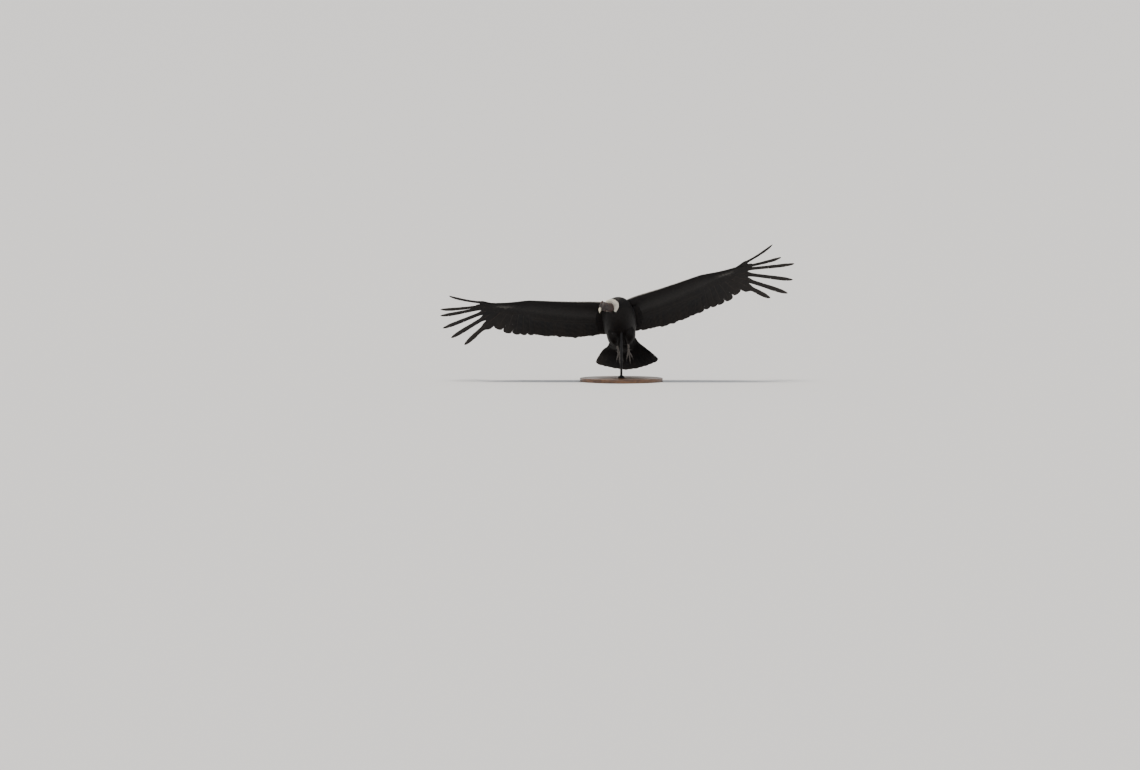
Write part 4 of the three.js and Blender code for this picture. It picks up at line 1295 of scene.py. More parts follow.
def build_flight_feathers(name, side):
    coat = Coat()
    draw = np.random.default_rng(31 + side)
    count = SECONDARIES + HAND_FEATHERS
    for i in range(HAND_FEATHERS):
        root, heading, length, finger = hand_feather(i, side)
        free = finger >= 0
        widths = web_widths(34 + 10 * i / INNER, 50 / length)
        if free:
            widths = finger_widths(root, heading, length, finger)
        shaft, lift, bow = (3.0, FINGER_LIFTS[finger], 0.012) if free else (2.3, 0, 0.008)
        lay_vane(
            coat, draw, FLIGHT_VANES[i % 4], root, heading, length, widths, wing_height, shaft,
            cell_of(i, count), lift=lift, bow=bow, side=side,
        )
    for i in range(SECONDARIES):
        x, rear, reach = secondary_place(i, side)
        length = ROOT_SINK + varied(draw, reach, 0.025)
        white = panel(white_web, x, draw)
        lay_vane(
            coat, draw, FLIGHT_VANES[i % 4], (x, rear - ROOT_SINK), 90 + draw.uniform(-1, 1), length,
            web_widths(SECONDARY_HALF, ROOT_SINK / length), wing_height, 1.9,
            cell_of(count - 1 - i, count), bow=0.006, pale=white, side=side,
        )
    nodes = [f"wing_{name}_{part}" for part in ("upper_arm", "forearm", "hand")]
    return coat.build(f"flight_feathers_{name}", FLIGHT_FEATHER, "feather", nodes)


for name, side in SIDES:
    build_flight_feathers(name, side)

# %% [markdown]
# ### Wing coverts
# The greater coverts lie over the flight feathers' roots, one to each, above and below. The median
# and lesser coverts are shorter and shorter rows towards the leading edge, like shingles. They are
# draped on the wing's surface: each feather's points are placed by their distance across and back,
# and raised along the surface's own normal.


# %% Draping
def small_feather(template, lengths, halves, draw):
    """Webs, distance along, share and side of every point of small feathers with round, ragged tips."""
    across, along, side = template.points.T
    share = 1 - (1 - along) ** 1.6
    tip = np.clip((share - 0.62) / 0.38, 0, 1)
    web = np.minimum(1, 0.7 + share * 1.5) * np.sqrt(1 - 0.93 * tip**2.4)
    phase = draw.uniform(0, 6.3, (len(lengths), 1))
    ragged = 1 + 0.035 * np.sin(4 * across + phase) * share**5
    return across, share, side, halves[:, None] * across * web, lengths[:, None] * share * ragged


def marks_of(count, template, draw):
    """Tone and share of the length for each point of each copy, none of it white."""
    marks = np.zeros((count, len(template.points), 4))
    marks[..., 0] = draw.uniform(0, 1, (count, 1))
    marks[..., 3] = template.points[:, 1]
    return marks


def drape(coat, draw, template, surface, face, rows, rise, unwrap, side=LEFT, pale=None):
    """Add copies of a template, laid on a surface by its own two distances, to a coat. rows are their
    roots, turns, lengths and half widths, rise the height at root and tip and the cup between."""
    roots, turn, lengths, halves = rows
    low, high, cup = rise
    across, share, over, offset, back = small_feather(template, lengths, halves, draw)
    sine, cosine = np.sin(turn)[:, None], np.cos(turn)[:, None]
    u = roots[:, :1] + offset * cosine + back * sine
    v = roots[:, 1:] + back * cosine - offset * sine
    base = surface(u, v)
    step = 0.5
    normal = face * unit(np.cross(surface(u + step, v) - base, surface(u, v + step) - base))
    raised = low + (high - low) * share**0.8 - cup * across**2 + 0.3 * over
    marks = marks_of(len(roots), template, draw)
    # pale carries the painted highlight along the arm's upper leading edge, and the pale spot under the hand
    if pale is not None:
        marks[..., 1] = (pale * draw.uniform(0.3, 1, len(roots)))[:, None]
    laid = mirrored(base + normal * raised[:, None], side)
    barbs = np.stack([offset, back], -1) * METRE
    coat.add(template, laid, marks, barbs, patches(template, unwrap), (side == RIGHT) != (face < 0))


print("points in a covert:", len(COVERT_VANE.points))

# %% Small coverts
COVERT_COLUMNS = np.arange(INNER_X + 30, HAND_TIP_X + 4, 12)
even_hand = [hand_feather(i, LEFT) for i in range(0, HAND_FEATHERS, 2)]
hand_turn = through(
    [(0, 2), (WRIST_X - 60, 4)] + [(root[0], min(78, 90 - heading)) for root, heading, _, _ in even_hand]
)


def wing_unwrap(x, back, face):
    """The wing's own unwrap: the span across the map, the upper side in its upper half."""
    return np.stack([x / (HALF_SPAN * 1.1), 0.25 + 0.5 * (face > 0) + 0.4 * (back / WING_CHORD - 0.3)], -1)


def small_covert_rows(draw, start):
    """Roots, lengths and half widths of the lesser and median coverts on one face."""
    roots, lengths, halves = [], [], []
    for j, x in enumerate(COVERT_COLUMNS):
        chord = arm_rear(x) - leading_edge(x)
        size = np.interp(chord, (20, 130), (0.75, 1))
        rows = max(3, round(chord / 12))
        for k in range(rows):
            share = ((k + 0.5 * (j % 2)) / rows) ** 1.15
            back = start + share * chord * 1.12
            x_shift = 4.5 * draw.uniform(-1, 1)
            roots.append((x + x_shift, back + min(3.5, 1 + 8 * share) * draw.uniform(-1, 1)))
            lengths.append(varied(draw, (32 + 50 * share) * size, 0.14))
            halves.append(varied(draw, (8.5 + 6 * share) * size, 0.1))
    return np.array(roots), np.array(lengths), np.array(halves)


def painted_rim_and_pale_spot(x, back, face):
    """How pale the small coverts are: a painted highlight for the sunlit rim along the arm's upper leading
    edge, and a pale spot under the hand.
    """
    share = x / HALF_SPAN
    if face > 0:
        on_arm = smoothstep(share, 0.05, 0.1) * smoothstep(-share, -0.5, -0.38)
        # Painted highlight: the upper leading edge is made paler where the sun would rim it
        return 0.24 * np.exp(-((np.maximum(back, 0) / 11) ** 2)) * on_arm
    return 0.13 * np.exp(-(((share - 0.61) / 0.035) ** 2) - ((back - 30) / 12) ** 2)


def add_small_coverts(coat, draw, side, face):
    roots, lengths, halves = small_covert_rows(draw, -8 if face > 0 else -1)
    turn = np.radians(hand_turn(roots[:, 0]) + 7 * draw.uniform(-1, 1, len(roots)))
    drape(
        coat, draw, BODY_VANE, wing_surface(face), face, (roots, turn, lengths, halves), (-1.5, 2.6, 0.6),
        wing_unwrap(*roots.T, face), side, painted_rim_and_pale_spot(*roots.T, face),
    )


print("columns of small coverts on each face:", len(COVERT_COLUMNS))

# %% Greater coverts, and the coverts of both wings
COVERT_SHAFT = 0.7
COVERT_CUP = 0.8


def white_covert(across, share, face):
    return (face > 0) * smoothstep(share, 0.25, 0.4) * (0.6 + 0.4 * smoothstep(across, -0.6, 0.1))


def add_greater_coverts(coat, draw, side, face):
    """One row over the roots of the flight feathers, and a second row that ends half as far back."""
    for reach_share, level, half in ((0.5 if face > 0 else 0.4, 5.2, 24), (0.3, 8.2, 21)):
        for i in range(SECONDARIES):
            x, rear, reach = secondary_place(i, side)
            length = ROOT_SINK + varied(draw, reach * reach_share, 0.04)
            white = panel(white_covert, x, draw) if face > 0 and reach_share > 0.3 else None
            lay_vane(
                coat, draw, COVERT_VANE, (x + draw.uniform(-2, 2), rear - ROOT_SINK * 0.7), 90, length,
                web_widths(half, ROOT_SINK / length, 0.8), wing_height, COVERT_SHAFT,
                patch_at(wing_unwrap(x, rear - leading_edge(x), face)),
                level=face * level, pale=white, cup=COVERT_CUP * face, side=side,
            )
    for i in range(HAND_FEATHERS):
        root, heading, length, _ = hand_feather(i, side)
        slim = np.interp(i, (9, 10), (1, 0.6))
        first_reach = (185 if face > 0 else 150) * slim**0.5
        for reach, level, half in ((first_reach, 4.6, 25 * slim), (118 * slim, 7.2, 19 * slim)):
            lay_vane(
                coat, draw, COVERT_VANE, root, heading, varied(draw, reach, 0.05),
                web_widths(half, 60 / reach, 0.72), wing_height, COVERT_SHAFT,
                patch_at(wing_unwrap(root[0], 60, face)),
                level=face * level * np.interp(i, (0, 10), (1, 0.55)), cup=COVERT_CUP * face, side=side,
            )


def build_coverts(name, side):
    coat = Coat()
    draw = np.random.default_rng(71 + side)
    for face in (1, -1):
        add_small_coverts(coat, draw, side, face)
        add_greater_coverts(coat, draw, side, face)
    return coat.build(f"coverts_{name}", BODY_FEATHER, "feather")


for name, side in SIDES:
    build_coverts(name, side)

# %% [markdown]
# ### Tail
# Twelve broad feathers fan out from a fleshy root, each one's outer edge over the next one's inner
# edge, with coverts draped over their roots above and below.

# %% Tail feathers
TAIL_FEATHERS = 12
TAIL_SPREAD = {LEFT: 0.95 * 41, RIGHT: 0.86 * 41}  # degrees from the middle to the outermost
TAIL_ROOT_HALF = 64
TAIL_ROOT_BACK = 20
TAIL_TILT = 0.07
TAIL_BOW = 0.045


def build_tail():
    coat = Coat()
    draw = np.random.default_rng(5)
    widths = rounded([(0, 6), (0.1, 16), (0.2, 33), (0.6, 35), (0.92, 31), (1, 26)], 0.94)
    for i in range(TAIL_FEATHERS):
        place = 2 * i / (TAIL_FEATHERS - 1) - 1
        side = np.sign(place)
        length = varied(draw, TAIL_LENGTH * (0.93 - 0.07 * abs(place)), 0.01)
        root_x = place * TAIL_ROOT_HALF + tail_middle(TAIL_ROOT_BACK)
        root = (root_x, TORSO_BACK + TAIL_ROOT_BACK - 6 * abs(place))
        heading = 90 - math.degrees(TAIL_TURN) - TAIL_SPREAD[side] * place
        lay_vane(
            coat, draw, FLIGHT_VANES[i % 4], root, heading, length, (widths, widths),
            lambda x, y: tail_height(x, y - TORSO_BACK), 2.0, cell_of(i, TAIL_FEATHERS),
            level=3 if side > 0 else 0, bow=TAIL_BOW * place * abs(place), tilt=side * TAIL_TILT,
        )
    return coat.build("tail_feathers", FLIGHT_FEATHER, "feather", ("tail",))


build_tail()

# %% Tail coverts
TAIL_COVERT_ROWS = (62, 46, 30, 14, -2, -18)  # distances behind the torso


def tail_surface(face):
    """The covert surface round the tail's root, by x and by distance behind the torso."""

    def at(x, back):
        from_middle = (x - tail_middle(back)) / (tail_half(back) * 1.15)
        tall = tail_above(back) if face > 0 else tail_below(back)
        round_off = np.cos(math.pi / 2 * np.clip(from_middle, -1, 1)) ** 1.3
        z = tail_height(x, back) + face * (4 + tall * round_off)
        return np.stack([x, TORSO_BACK + back, z], -1)

    return at


def tail_covert_rows(draw):
    """Roots, turns and lengths of one face's tail coverts."""
    roots, turns, lengths = [], [], []
    for row, back in enumerate(TAIL_COVERT_ROWS):
        many = 15 + row % 2
        outermost, fan = (np.interp(back, (-18, 14, 62), values) for values in ((93, 98, 113), (9, 27, 36)))
        for k in range(many):
            place = 2 * k / (many - 1) - 1
            wider = outermost + 9 * (place > 0)
            roots.append((place * wider + tail_middle(back), back + draw.uniform(-3, 3)))
            turns.append(math.radians(fan * place + draw.uniform(-3, 3)) + TAIL_TURN)
            lengths.append(varied(draw, np.interp(back, (-18, 62), (66, 108)), 0.06))
    return np.array(roots), np.array(turns), np.array(lengths)


def build_tail_coverts():
    coat = Coat()
    draw = np.random.default_rng(6)
    for face in (1, -1):
        roots, turns, lengths = tail_covert_rows(draw)
        unwrap = np.stack([0.5 + roots[:, 0] / 300, 0.25 + 0.5 * (face > 0) + roots[:, 1] / 400], -1)
        rows = (roots, turns, lengths, lengths * 0.19)
        drape(coat, draw, COVERT_VANE, tail_surface(face), face, rows, (-2, 4, 0.8), unwrap)
    return coat.build("tail_coverts", BODY_FEATHER, "feather")


build_tail_coverts()

# %% [markdown]
# ### Body feathers
# Small contour feathers cover the torso, the thighs and the neck below the ruff. Their roots are
# thrown on the skin at random and kept only where no other root is too near, so they are spread
# evenly. Each is laid along the flow of the coat, pressed onto the skin, with its tip lifted over the
# feathers behind it.

# %% The flow of the coat
thigh_centre = along_path(THIGH_PATH)


def near_thigh(points):
    """Distance to the nearer thigh's own line, the heading of the line there, and the share along it."""
    shares = np.linspace(0, 1, 24)
    line, heading = thigh_centre(shares)
    gaps = np.linalg.norm(folded(points)[:, None] - line[None], axis=2)
    nearest = gaps.argmin(1)
    lie = heading[nearest].copy()
    lie[:, 0] *= np.sign(points[:, 0])
    return gaps.min(1), lie, shares[nearest]


def coat_flow(points, normals):
    """The way the coat lies: back along the body, down the thighs, away from the face on the neck."""
    flow = np.tile((0.0, 1.0, 0.0), (len(points), 1))
    gap, down_leg, _ = near_thigh(points)
    on_leg = smoothstep(-gap, -46, -36)[:, None] * smoothstep(points[:, 1], 70, 130)[:, None]
    flow += on_leg * (down_leg - flow)
    flow[:, 0] -= 0.45 * points[:, 0] / 110 * smoothstep(points[:, 1], 170, 250)
    on_neck = smoothstep(-points[:, 1], 150, 200)[:, None]
    flow += on_neck * (-RUFF_AXIS - flow)
    flow -= normals * np.sum(flow * normals, 1, keepdims=True)
    return unit(flow)


def root_spacing(points):
    """Feathers are smallest round the neck and on the shanks, largest on the back and flanks."""
    size = np.interp(points[:, 1], (-230, -150, 0, 200), (6, 7.5, 9.5, 11))
    gap, _, share = near_thigh(points)
    leg = (gap < 46) & (points[:, 1] > 110)
    return np.where(leg, np.interp(share, (0.3, 1), (9, 6)), size)


print("gap between roots on the back:", root_spacing(np.array([(0, 100, 80)]))[0], "mm")

# %% Scatter roots on the skin
GRID_CELL = 14.0  # more than the widest gap, so that only the cells next to a root need a look
AREA_PER_TRY = 18  # square millimetres of skin to each root thrown
NEXT_CELLS = [(x, y, z) for x in (-1, 0, 1) for y in (-1, 0, 1) for z in (-1, 0, 1)]


def body_area(points):
    """1 where contour feathers grow on the skin, 0 on the bare neck, head and the wings' arms."""
    behind_ruff = (points - RUFF_CENTRE) @ -RUFF_AXIS > -6
    on_body = np.abs(points[:, 0]) < 150
    return (behind_ruff & on_body & (points[:, 1] < TORSO_BACK + 40)).astype(float)


def spread_out(points, gaps):
    """Which points to keep so that none has an earlier one nearer than its gap."""
    kept, grid = [], {}
    for i, (point, gap) in enumerate(zip(points.tolist(), gaps.tolist())):
        x, y, z = (int(v // GRID_CELL) for v in point)
        near = (other for dx, dy, dz in NEXT_CELLS for other in grid.get((x + dx, y + dy, z + dz), ()))
        if all(math.dist(point, other) > gap for other in near):
            kept.append(i)
            grid.setdefault((x, y, z), []).append(point)
    return kept


def scatter(piece, wanted, draw):
    """Evenly spread roots on a piece's surface, as points and normals in the bird's frame, and gaps."""
    piece.data.calc_loop_triangles()
    corners = read(piece.data.loop_triangles, "vertices", 3, np.int32)
    points = moved(points_of(piece), BIRD.inverted())
    a, b, c = (points[corners[:, k]] for k in range(3))
    cross = np.cross(b - a, c - a)
    weight = np.linalg.norm(cross, axis=1) * wanted((a + b + c) / 3)
    count = int(weight.sum() / AREA_PER_TRY)
    chosen = draw.choice(len(weight), count, p=weight / weight.sum())
    r, s = np.sqrt(draw.uniform(0, 1, count))[:, None], draw.uniform(0, 1, count)[:, None]
    thrown = a[chosen] * (1 - r) + b[chosen] * (r * (1 - s)) + c[chosen] * (r * s)
    spacing = root_spacing(thrown)
    kept = spread_out(thrown, spacing)
    print("roots thrown:", count, "and kept:", len(kept))
    return thrown[kept], unit(cross[chosen])[kept], spacing[kept]


ROOTS_DRAW = np.random.default_rng(17)
body_roots, body_normals, body_spacing = scatter(skin, body_area, ROOTS_DRAW)


# %% Lay the body feathers
def pressed_on_skin(flat, rise):
    """Points laid on the skin, each raised by its own rise."""
    points = [p.tolist() for p in moved(points_of(skin), BIRD.inverted())]
    tree = BVHTree.FromPolygons(points, [tuple(face.vertices) for face in skin.data.polygons])
    laid = np.empty_like(flat)
    for i in range(len(flat)):
        for k in range(len(rise)):
            hit, normal, _, _ = tree.find_nearest(flat[i, k].tolist())
            laid[i, k] = hit + normal * rise[k]
    return laid


def build_body_feathers(roots, normals, spacing, draw):
    count = len(roots)
    flow = coat_flow(roots, normals)
    swing = np.radians(9 * draw.uniform(-1, 1, count))[:, None]
    aside = np.cross(flow, normals)
    flow, aside = flow * np.cos(swing) + aside * np.sin(swing), aside * np.cos(swing) - flow * np.sin(swing)
    lengths = varied(draw, spacing * 4.4, 0.14, count)
    across, share, over, offset, back = small_feather(BODY_VANE, lengths, spacing * 0.95, draw)
    flat = roots[:, None] + aside[:, None] * offset[..., None] + flow[:, None] * back[..., None]
    laid = pressed_on_skin(flat, 0.2 + 5.6 * share**0.8 - 0.9 * across**2 + 0.3 * over)
    angle = np.arctan2(roots[:, 2], roots[:, 0]) / (2 * math.pi) + 0.5
    bake = patches(BODY_VANE, np.stack([angle, 0.5 + roots[:, 1] / 700], -1))
    barbs = np.stack([offset, back], -1) * METRE
    coat = Coat()
    coat.add(BODY_VANE, laid, marks_of(count, BODY_VANE, draw), barbs, bake)
    return coat.build("body_feathers", BODY_FEATHER, "feather")


build_body_feathers(body_roots, body_normals, body_spacing, ROOTS_DRAW)

# %% [markdown]
# ### Scapulars
# Where the wing leaves the back, longer feathers lie over both and close the gap. They are draped on
# the higher of the two surfaces, blended smoothly where they meet. Axillaries do the same below.

# %% Scapulars
JOIN_SOFTNESS = 9
COLUMN_STEP, ROW_STEP = 13, 17
torso_half, torso_above, torso_below = through_columns(TORSO_RINGS, 1, 2, 3)


def junction(face):
    """The smooth envelope of the torso and the wing, above or below."""

    def at(x, y):
        inside = np.sqrt(np.clip(1 - (x / torso_half(y)) ** 2, 0, 1))
        torso = (torso_above(y) if face > 0 else torso_below(y)) * inside - COAT_DEPTH
        wing = face * wing_height(x, y) + wing_depth(x, y)
        both = JOIN_SOFTNESS * np.logaddexp(torso / JOIN_SOFTNESS, wing / JOIN_SOFTNESS)
        return np.stack([x, y, face * both], -1)

    return at


def junction_rows(draw, first_x, columns, first_y, rows):
    """Roots, turns and lengths, longer row by row. The last rows are one column narrower."""
    roots, turns, lengths = [], [], []
    for row in range(rows):
        for column in range(columns - (row > rows * 0.6)):
            x = first_x + COLUMN_STEP * column + COLUMN_STEP / 2 * (row % 2) + draw.uniform(-4, 4)
            roots.append((x, first_y + ROW_STEP * row + draw.uniform(-5, 5)))
            turns.append(math.radians(3 + draw.uniform(-6, 6)))
            lengths.append(varied(draw, np.interp(row, (0, rows), (48, 112)), 0.1))
    return np.array(roots), np.array(turns), np.array(lengths)


def build_junction_feathers(name, face, *layout):
    """Rows of longer feathers over the seam of wing and body, on both sides of the bird."""
    coat = Coat()
    draw = np.random.default_rng(44 + face)
    for _, side in SIDES:
        roots, turns, lengths = junction_rows(draw, *layout)
        halves = lengths * np.interp(lengths, (45, 115), (0.24, 0.17))
        unwrap = np.stack([0.5 + side * roots[:, 0] / 600, 0.5 + roots[:, 1] / 600], -1)
        rows = (roots, turns, lengths, halves)
        drape(coat, draw, COVERT_VANE, junction(face), face, rows, (-2.5, 4.2, 0.7), unwrap, side)
    return coat.build(name, BODY_FEATHER, "feather")


build_junction_feathers("scapulars", 1, 48, 10, -125, 13)
build_junction_feathers("axillaries", -1, 112, 5, -95, 9)

# %% [markdown]
# ### Ruff
# A collar of white down stands round the base of the neck and is open at the throat. A soft core
# gives it body, and thousands of fine plumes grow from it, out from the neck and back to the
# shoulders. Down mats a little, so each plume's tip is pulled towards the tip of a leader near it.

# %% The ruff's core
RUFF_RADIUS = 47
RUFF_CORE = 9.5
RUFF_SWEEP = {LEFT: 156, RIGHT: 94}  # degrees from the nape
ruff_across = -unit(np.cross(RUFF_AXIS, (0, 0, 1)))
ruff_up = unit(np.cross(RUFF_AXIS, ruff_across))


def ruff_out(angle):
    return ruff_up * np.cos(angle)[..., None] + ruff_across * np.sin(angle)[..., None]


def ruff_size(angle):
    """Slimmer towards the throat, and on the right, where the turned head presses the down flat."""
    end = np.where(angle > 0, math.radians(RUFF_SWEEP[LEFT]), math.radians(RUFF_SWEEP[RIGHT]))
    pressed = 1 - 0.42 * smoothstep(-angle, 0, 0.8)
    return RUFF_CORE * pressed * (1 - 0.5 * smoothstep(np.abs(angle) / end, 0.6, 1))


def ruff_ring(size):
    """Radius of the middle of the down, which follows the neck where the down is slim."""
    return (RUFF_RADIUS - 0.8 * (RUFF_CORE - size))[..., None]


def ruff_core_section(angle, share):
    sweep = np.radians(share * RUFF_SWEEP[LEFT] - (1 - share) * RUFF_SWEEP[RIGHT])
    out, size = ruff_out(sweep), ruff_size(sweep)
    wide = (size * 1.15 * np.cos(angle))[..., None]
    deep = (size * 0.9 * np.sin(angle))[..., None]
    return RUFF_CENTRE + out * (ruff_ring(size) + wide) + RUFF_AXIS * deep


core = tube("ruff_core", ruff_core_section, 16, 60)
set_colours(core.data, "mark", np.full((len(core.data.vertices), 4), 0.6))
dress(core, WHITE_DOWN, (), 180)

# %% Plumes of the ruff
RUFF_PLUMES = 7200  # in each of two layers on each side
RUFF_LOCKS = 420
PLUME_LENGTHS = (15, 24)
PLUME_RADIUS = 0.55
PLUME_TAPER = 0.7
WAVE = 1.4
SWEPT_BACK = 5
MATTING = 0.5
PLUME = shaft_template(3, 4)


def build_plumes(name, side, layer):
    """Down on one side of the collar, from the nape round to the throat."""
    draw = np.random.default_rng(10 * layer + side)
    sweep = side * math.radians(RUFF_SWEEP[side]) * draw.uniform(-0.02, 1, RUFF_PLUMES)
    around = 0.88 * math.pi * draw.uniform(-1, 1, RUFF_PLUMES)
    out, size = ruff_out(sweep), ruff_size(sweep)
    normal = out * np.cos(around)[:, None] + RUFF_AXIS * np.sin(around)[:, None]
    roots = RUFF_CENTRE + out * ruff_ring(size) + normal * (size - 2)[:, None]
    heading = unit(normal * 0.9 + out * 0.6 - RUFF_AXIS * 0.5 + 0.16 * draw.normal(size=(RUFF_PLUMES, 3)))
    aside = unit(np.cross(heading, draw.normal(size=(RUFF_PLUMES, 3))))
    lift = np.cross(aside, heading)
    reach = np.interp(np.abs(around), (0, 1.6, 2.8), (1.1, 0.85, 0.4)) * size / RUFF_CORE
    lengths = draw.uniform(*PLUME_LENGTHS, RUFF_PLUMES) * reach
    tips = roots + heading * lengths[:, None]
    leaders = draw.choice(RUFF_PLUMES, RUFF_LOCKS, replace=False)
    nearest = np.linalg.norm(roots[:, None] - roots[leaders][None], axis=2).argmin(1)
    pull = MATTING * (tips[leaders][nearest] - tips)
    across, share, face = PLUME.points.T
    width = PLUME_RADIUS * (1 - PLUME_TAPER * share)
    wave = WAVE * np.sin(6 * share + draw.uniform(0, 6.3, (RUFF_PLUMES, 1))) * share
    laid = roots[:, None] + aside[:, None] * (across * width + wave)[..., None]
    laid = laid + lift[:, None] * (face * width)[:, None]
    laid = laid + heading[:, None] * (lengths[:, None] * share)[..., None]
    laid = laid + pull[:, None] * (share**2)[:, None] - RUFF_AXIS * (SWEPT_BACK * share**2)[:, None]
    bake = patches(PLUME, np.stack([0.5 + sweep / 6.4, 0.5 + around / 6.4], -1))
    barbs = np.broadcast_to(np.stack([across * width, 20 * share], -1) * METRE, (*laid.shape[:2], 2))
    coat = Coat()
    coat.add(PLUME, laid, marks_of(RUFF_PLUMES, PLUME, draw), barbs, bake)
    return coat.build(f"ruff_down_{name}_{layer}", WHITE_DOWN, "down", (f"ruff_{name}",))


for name, side in SIDES:
    for layer in (1, 2):
        build_plumes(name, side, layer)

# %% [markdown]
# ## Bill
# The upper half is heavy and hooked, the lower one shorter and blunt. The horn is dark where it
# leaves the face and ivory towards the tip, the brightest spot of the head in the photo. The nostrils
# are slots that run right through the bill's base.

# %% Bill
BILL_START = -49
# y, half width, above, below, height of the middle
BILL_UPPER_RINGS = [
    (BILL_START, 14, 15, 6, -6), (-60, 12.5, 14, 7.5, -6.5), (-72, 10.5, 13.5, 8, -7.5),
    (-84, 8.5, 12, 10, -10.5), (-91, 6.6, 9.5, 13, -14), (-95.5, 4.4, 6.6, 13.4, -19),
    (-97.5, 2.6, 3.6, 9, -26), (-97, 1.2, 1.8, 5, -33),
]
BILL_LOWER_RINGS = [
    (BILL_START, 12.5, 2.2, 7, -17), (-62, 10.5, 2, 6.5, -17.6), (-74, 8, 1.6, 5.5, -19.4),
    (-84, 5, 1, 3.5, -22.8), (-88, 2, 0.6, 1.5, -25),
]
NOSTRIL_SIZE, NOSTRIL_PLACE = (20, 4.2, 2.4), (0, -57, 1)
DARK_UNTIL, IVORY_FROM = -66, -88


def hooked_section(rings):
    """Ovals in the order given, so that the bill may turn back under its own tip."""
    rows = np.array(rings, float)
    columns = by_share(np.hypot(*np.diff(rows[:, (0, 4)], axis=0).T), rows)

    def section(angle, share):
        y, half, above, below, middle = (column(share) for column in columns)
        return np.stack([half * np.cos(angle), y, middle + oval(angle, above, below)], -1)

    return section


def tag_by_place(piece, low, high, place):
    """Store where each point lies between two places, for a finish that runs along the piece."""
    share = np.clip((place - low) / (high - low), 0, 1)
    set_colours(piece.data, "mark", np.repeat(share[:, None], 4, axis=1))


def build_bill():
    upper = tube("bill_upper_horn", hooked_section(BILL_UPPER_RINGS), 40, 60, HEAD_ROOM)
    nostril = begin("nostril", bpy.ops.mesh.primitive_uv_sphere_add, radius=1, segments=24, ring_count=16)
    set_points(nostril, moved(points_of(nostril) * NOSTRIL_SIZE + NOSTRIL_PLACE, HEAD_ROOM))
    cut(upper, nostril)
    lower = tube("bill_lower_horn", hooked_section(BILL_LOWER_RINGS), 32, 40, HEAD_ROOM)
    for piece, node in ((upper, "bill_upper"), (lower, "bill_lower")):
        tag_by_place(piece, DARK_UNTIL, IVORY_FROM, in_head(piece)[:, 1])
        dress(piece, BILL_HORN, (node,), 50)


build_bill()

# %% [markdown]
# ## Eyes
# A glossy ball in each socket, with a dark pupil and a brown iris, as a male has. The cornea swells
# out a little over the iris, so that the eye catches the light.

# %% Eyes
GAZE = 0.2  # radians forwards of straight aside
CORNEA_ANGLE, CORNEA_HEIGHT = 0.62, 0.9
IRIS_REACH = 1.2


def build_eye(name, side):
    place = EYE_PLACE * (side, 1, 1)
    eye = ball(f"eye_{name}_ball", EYE_RADIUS, place, 40, 28)
    points = in_head(eye) - place
    gaze = unit(np.array((side * math.cos(GAZE), -math.sin(GAZE), 0)))
    away = np.arccos(np.clip(unit(points) @ gaze, -1, 1))
    cornea = CORNEA_HEIGHT * np.maximum(0, 1 - (away / CORNEA_ANGLE) ** 2)
    set_points(eye, moved(points + unit(points) * cornea[:, None] + place, HEAD_ROOM))
    tag_by_place(eye, 0, IRIS_REACH, away)
    dress(eye, WET_EYE, (f"eye_{name}",), 180)


for name, side in SIDES:
    build_eye(name, side)

# %% [markdown]
# ## Feet
# A flying condor trails its feet under its tail with the toes half closed. The shank and toes are
# united like the head, and a row of scutes is set along the front of each.

# %% Shank, toes and claws
SHANK_PATH = [(47, 236, -72), (44, 300, -68), (41, 352, -62)]
SHANK_SIZES = [(0, 11, 11, 11), (0.2, 9, 9, 9), (0.8, 8.5, 8.5, 8.5), (1, 12, 9, 9)]
TOES = ((-19, 72, 7.6), (1, 102, 8.4), (20, 68, 7.4), (150, 30, 6))  # turn in degrees, length, half width
TOE_DROOP = 0.24
CLAW_LENGTH = 26
CLAW_WIDTH = 0.52
ANKLE = np.array(SHANK_PATH[-1], float)


def heading_of(turn):
    """A level direction, turned from straight back."""
    return np.array((math.sin(math.radians(turn)), math.cos(math.radians(turn)), 0))


def toe_path(turn, length):
    heading = heading_of(turn)
    return [
        ANKLE + heading * share * length + (0, 0, -TOE_DROOP * length * share * share)
        for share in (0, 0.35, 0.7, 1)
    ]


def toe_sizes(half):
    """A toe tapers and swells at each knuckle."""
    shares = np.linspace(0, 1, 11)
    knuckle = half * (1 - 0.35 * shares) * (0.92 + 0.08 * np.cos(shares * 6 * math.pi))
    return [(s, k, k * 0.9, k) for s, k in zip(shares, knuckle)]


def claw_path(turn, length):
    """Out from the toe's end and hooked down."""
    start = toe_path(turn, length - 3)[-1]
    bends = ((0, 0), (0.5, 0.34), (0.72, 0.8))
    return [
        start + heading_of(turn) * CLAW_LENGTH * out + (0, 0, -CLAW_LENGTH * down) for out, down in bends
    ]


def claw_sizes(half):
    size = half * CLAW_WIDTH
    return [(0, size, size, size), (0.5, size * 0.68, size * 0.72, size * 0.68), (1, 0.4, 0.4, 0.4)]


print("the ankle is", round(moved(ANKLE, BIRD)[2], 3), "m above the floor")

# %% Scutes
PLATE_HEIGHT, PLATE_SINK = 0.9, 0.4
PLATE_OVERLAP = 1.15


def scute_row(coat, draw, section, count, wide, start, stop, side):
    """Overlapping plates along the top of a limb, each wrapped over its section."""
    across, share, face = BODY_VANE.points.T
    step = (stop - start) / (count - 1)
    for place in np.linspace(start, stop, count):
        run = np.clip(place + (share - 0.5) * step * PLATE_OVERLAP, 0, 1)
        inner = section(math.pi / 2 + across * wide, run)
        middle = section(across * 0 + math.pi / 2, run) + section(across * 0 - math.pi / 2, run)
        out = unit(inner - middle / 2)
        swell = PLATE_HEIGHT * (1 - across**2) * (1 - (2 * share - 1) ** 4) * (face > 0) - PLATE_SINK
        laid = mirrored(inner + out * swell[:, None], side)[None]
        barbs = np.zeros((1, len(share), 2))
        coat.add(BODY_VANE, laid, marks_of(1, BODY_VANE, draw), barbs, barbs, side == RIGHT)


